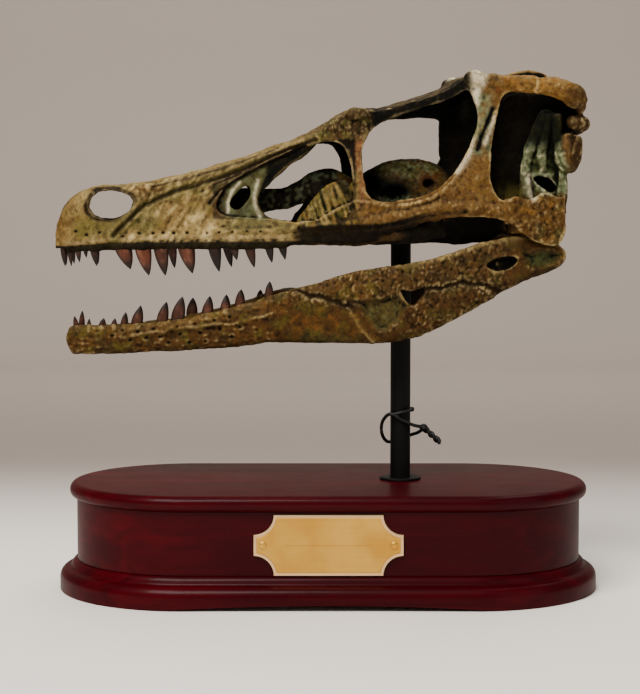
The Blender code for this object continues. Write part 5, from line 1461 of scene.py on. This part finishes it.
def settle(body, name, finish, node, angle=40):
    if bpy.context.mode != "OBJECT":
        bpy.ops.object.mode_set(mode="OBJECT")
    selectOnly(body)
    applyPlace()
    bpy.ops.object.shade_smooth_by_angle(angle=math.radians(angle))
    body.name = body.data.name = name
    body.data.materials.clear()
    body.data.materials.append(finish)
    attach(body, "root")
    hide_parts(node)


def stadium(halfLength, halfDepth, low, high, edges=160):  # a round disc drawn out lengthwise
    body = rod(halfDepth, low, high, edges, turn=math.pi / edges)
    for way in (-1, 1):
        pick(body, lambda v: v.co.x * way > 1e-6)
        bpy.ops.transform.translate(value=(way * (halfLength - halfDepth) * mm, 0, 0))
    return body


def bevelRim(body, height, width, segments):
    pick(body, lambda e: all(abs(v.co.z - height * mm) < 1e-6 for v in e.verts)
         and len(e.link_faces) == 2 and any(abs(f.normal.z) < 0.3 for f in e.link_faces), "EDGE")
    bpy.ops.mesh.bevel(offset=width * mm, segments=segments, profile=0.5, affect="EDGES")


base = {"height": 50.6, "halfLength": 121.5, "halfDepth": 57.0, "slab": 7.0, "wallInset": 3.2, "gap": 0.3,
        "plinthLength": 126.5, "plinthDepth": 62.0, "plinth": 14.4, "foot": 6.2, "archRise": 2.6,
        "archHalf": 82.0, "slabBevels": (3.5, 2.9), "footBevel": 0.6,
        "steps": [(0.25, 1.2), (0.45, 1.0), (0.7, 0.9), (0.9, 0.7), (1.1, 0.45), (1.3, 0.25), (0.5, 0.3),
                  (0.3, 0.5), (0.35, 1.1), (0.5, 0.8), (0.65, 0.65), (0.8, 0.35)]}  # inset and rise


def buildBase(wood):
    low = base["height"] - base["slab"]
    top = stadium(base["halfLength"], base["halfDepth"], low, base["height"])
    bevelRim(top, base["height"], base["slabBevels"][0], 10)
    bevelRim(top, low, base["slabBevels"][1], 8)
    settle(top, "topSlab", wood, "stand_top")
    body = stadium(base["halfLength"] - base["wallInset"], base["halfDepth"] - base["wallInset"],
                   base["plinth"] + base["gap"], low - base["gap"])
    settle(body, "bodyWall", wood, "stand_body")
    plinth = stadium(base["plinthLength"], base["plinthDepth"], 0, base["foot"])
    for inset, rise in base["steps"]:
        crest = max(v.co.z for v in bmesh.from_edit_mesh(plinth.data).verts)
        pick(plinth, lambda f: f.normal.z > 0.9 and f.calc_center_median().z > crest - 1e-6, "FACE")
        bpy.ops.mesh.inset(thickness=inset * mm, depth=rise * mm)
    bevelRim(plinth, 0, base["footBevel"], 3)
    bpy.ops.object.mode_set(mode="OBJECT")
    half, rise = base["archHalf"], base["archRise"]
    radius = (half ** 2 + rise ** 2) / (2 * rise)
    arch = [(half * s, rise - radius + math.sqrt(radius ** 2 - (half * s) ** 2))
            for s in np.linspace(-1, 1, 41)]
    for way in (-1, 1):
        carve(plinth, sidePrism("arch", [(-half, -4), *arch, (half, -4)], *sorted((way * 50, way * 80))))
    settle(plinth, "plinth", wood, "stand_plinth")
    report("base done")


post = {"x": 34.0, "radius": 4.7, "low": 50.9, "high": 162.7, "flange": 9.8, "flangeThick": 0.9, "gap": 0.3,
        "endBevel": 0.4, "flangeBevel": 0.6}


def buildPost(black):
    shaft = rod(post["radius"], post["low"], post["high"], 64, post["x"])
    bevelRim(shaft, post["high"], post["endBevel"], 3)
    settle(shaft, "postRod", black, "stand_post")
    high = post["low"] + post["flangeThick"]
    disc = rod(post["flange"], post["low"], high, 96, post["x"])
    bevelRim(disc, high, post["flangeBevel"], 5)
    bpy.ops.object.mode_set(mode="OBJECT")
    carve(disc, rod(post["radius"] + post["gap"], post["low"] - 10, post["low"] + 10, 96, post["x"]))
    settle(disc, "flangeDisc", black, "stand_flange")


plate = {"width": 67.0, "height": 27.4, "scoop": 9.0, "z": 28.6, "thick": 1.2, "pin": 1.85, "pinIn": 4.1,
         "pinFlat": 0.42, "rule": 39.0, "ruleHalf": 0.24, "ruleDeep": 0.25, "brightRim": 1.3,
         "profile": [(0, 0.35), (0.1, 0.12), (0.35, 0), (1.0, 0), (1.15, 0.22), (1.4, 0.26), (1.6, 0.05),
                     (3.2, 0.05)]}  # how far in from the edge, how far behind the face


def plaqueRing(inset, y):  # a rectangle with a scoop out of each corner
    reach = plate["scoop"] + inset
    spare = math.asin(inset / reach)
    ring = []
    for cx, cz, forth in ((1, 1, False), (-1, 1, True), (-1, -1, False), (1, -1, True)):
        for k in range(17):
            a = spare + (math.pi / 2 - 2 * spare) * (k / 16 if forth else 1 - k / 16)
            ring.append((cx * (plate["width"] / 2 - reach * math.cos(a)), y,
                         plate["z"] + cz * (plate["height"] / 2 - reach * math.sin(a))))
    return ring


def buildPlaque(brass):
    front = -(base["halfDepth"] - base["wallInset"] + base["gap"])
    face = front - plate["thick"]
    steps = [(0, front)] + [(inset, face + behind) for inset, behind in plate["profile"]]
    brassPlate = loft("plaque", [plaqueRing(inset, y) for inset, y in steps])
    half, low, high = plate["rule"] / 2, plate["z"] - plate["ruleHalf"], plate["z"] + plate["ruleHalf"]
    carve(brassPlate, loft("rule", [[(-half, y, low), (half, y, low), (half, y, high), (-half, y, high)]
                                    for y in (face - 1, face + plate["ruleDeep"])]))
    pins = []
    for way in (-1, 1):
        pin = freshMesh(bpy.ops.mesh.primitive_uv_sphere_add, segments=32, ring_count=16,
                        radius=plate["pin"] * mm, rotation=(math.pi / 2, 0, 0),
                        location=(way * (plate["width"] / 2 - plate["pinIn"]) * mm, (face + 0.1) * mm,
                                  plate["z"] * mm))
        pin.scale = (1, 1, plate["pinFlat"])
        applyPlace()
        pins.append(pin)
    brassPlate = joined("plaque", [brassPlate, *pins])
    edge = brassPlate.data.attributes.new("edge", "FLOAT", "POINT")
    for point, value in zip(brassPlate.data.vertices, edge.data):
        across = plate["width"] / 2 - abs(point.co.x) / mm
        up = plate["height"] / 2 - abs(point.co.z / mm - plate["z"])
        value.value = float(min(across, up, math.hypot(across, up) - plate["scoop"]) < plate["brightRim"])
    settle(brassPlate, "brassPlate", brass, "stand_plaque", 35)


tie = {
    "loop": [(10.9, -2.6, 75.6), (6.4, -4.9, 76.6), (1, -6.1, 79), (-4.8, -5.2, 82), (-8.4, -1, 78),
             (-8.6, 1.4, 72), (-5.6, 5.2, 67.6), (0, 6.4, 69), (5.4, 4.9, 71), (8.6, 1.5, 72.6),
             (10.9, -1.4, 74.8)],
    "stub": [(-4.8, -5.4, 81.6), (0, -6.3, 82.8), (4.4, -5, 83.8), (5.4, -4.6, 84.2)],
    "wire": 0.85, "knot": ((10.9, -2, 75.2), (2.0, 2.3, 1.9)), "tip": ((5.2, -4.8, 84.2), (1.3, 1.2, 1.2)),
    "twists": 1.6, "strand": 0.8, "grain": 0.32}  # places are beside the post


def buildTie(plastic):
    parts = [tube("tie", [(post["x"] + x, y, z, tie["wire"], tie["wire"]) for x, y, z in tie[name]], 14)
             for name in ("loop", "stub")]
    for turn in (0, math.pi):  # the two strands of the twisted tail
        tail = []
        for k in range(15):
            t, a = k / 14, turn + 2 * math.pi * tie["twists"] * k / 14
            spread = 0.85 if t < 0.8 else 0.85 + 4 * (t - 0.8)
            tail.append((post["x"] + 10.9 + 7.8 * t + 0.6 * spread * math.sin(a), -2 + spread * math.cos(a),
                         75.2 - 7 * t + 0.8 * spread * math.sin(a), tie["strand"], tie["strand"]))
        parts.append(tube("tail", tail, 14, 6))
    for name in ("knot", "tip"):
        (x, y, z), radii = tie[name]
        parts.append(ball(name, (post["x"] + x, y, z), radii))
    settle(melted("tie", parts, tie["grain"], 2), "twistTie", plastic, "stand_tie", 60)
    report("stand done")


buildBase(mahoganyFinish())
buildPost(blackFinish())
buildPlaque(brassFinish())
buildTie(tieFinish())


studio = {"floor": 6, "wallBack": 1.5, "wallHeight": 3, "bend": 0.35, "worldColour": (210, 206, 204),
          "worldPower": 0.26, "aim": (0, 0, 0.12),
          "lights": {"key": ((-0.45, -0.85, 1.35), 0.8, 36, (1, 0.97, 0.93)),
                     "fill": ((1.1, -0.9, 0.6), 1.2, 3, (0.95, 0.97, 1)),
                     "back": ((0.2, 0.45, 1.2), 0.9, 8, (1, 0.98, 0.96))}}  # place, size, power, colour


def makeStudio():
    edge = studio["floor"] / 2
    floor = freshMesh(bpy.ops.mesh.primitive_plane_add, size=studio["floor"], location=(0, 0, 0))
    floor.name = "studioFloor"
    pick(floor, lambda e: all(v.co.y > edge - 0.1 for v in e.verts), "EDGE")
    bpy.ops.transform.translate(value=(0, studio["wallBack"] - edge, 0))
    bpy.ops.mesh.extrude_region_move(TRANSFORM_OT_translate={"value": (0, 0, studio["wallHeight"])})
    bpy.ops.object.mode_set(mode="OBJECT")
    pick(floor, lambda e: all(abs(v.co.z) < 1e-6 and v.co.y > studio["wallBack"] - 0.1
                              for v in e.verts), "EDGE")
    bpy.ops.mesh.bevel(offset=studio["bend"], segments=16, affect="EDGES")
    bpy.ops.object.mode_set(mode="OBJECT")
    bpy.ops.object.shade_smooth()
    floor.data.materials.append(floorFinish())
    world = bpy.data.worlds.new("studio")
    bpy.context.scene.world = world
    world.use_nodes = True
    sky = world.node_tree.nodes["Background"].inputs
    sky[0].default_value, sky[1].default_value = (*linear(*studio["worldColour"]), 1), studio["worldPower"]
    for name, (place, size, power, colour) in studio["lights"].items():
        data = bpy.data.lights.new(name, "AREA")
        data.size, data.energy, data.color = size, power, colour
        lamp = placed(name, data)
        lamp.location = place
        lamp.rotation_euler = (Vector(studio["aim"]) - Vector(place)).to_track_quat("-Z", "Y").to_euler()


makeStudio()
report("studio done")
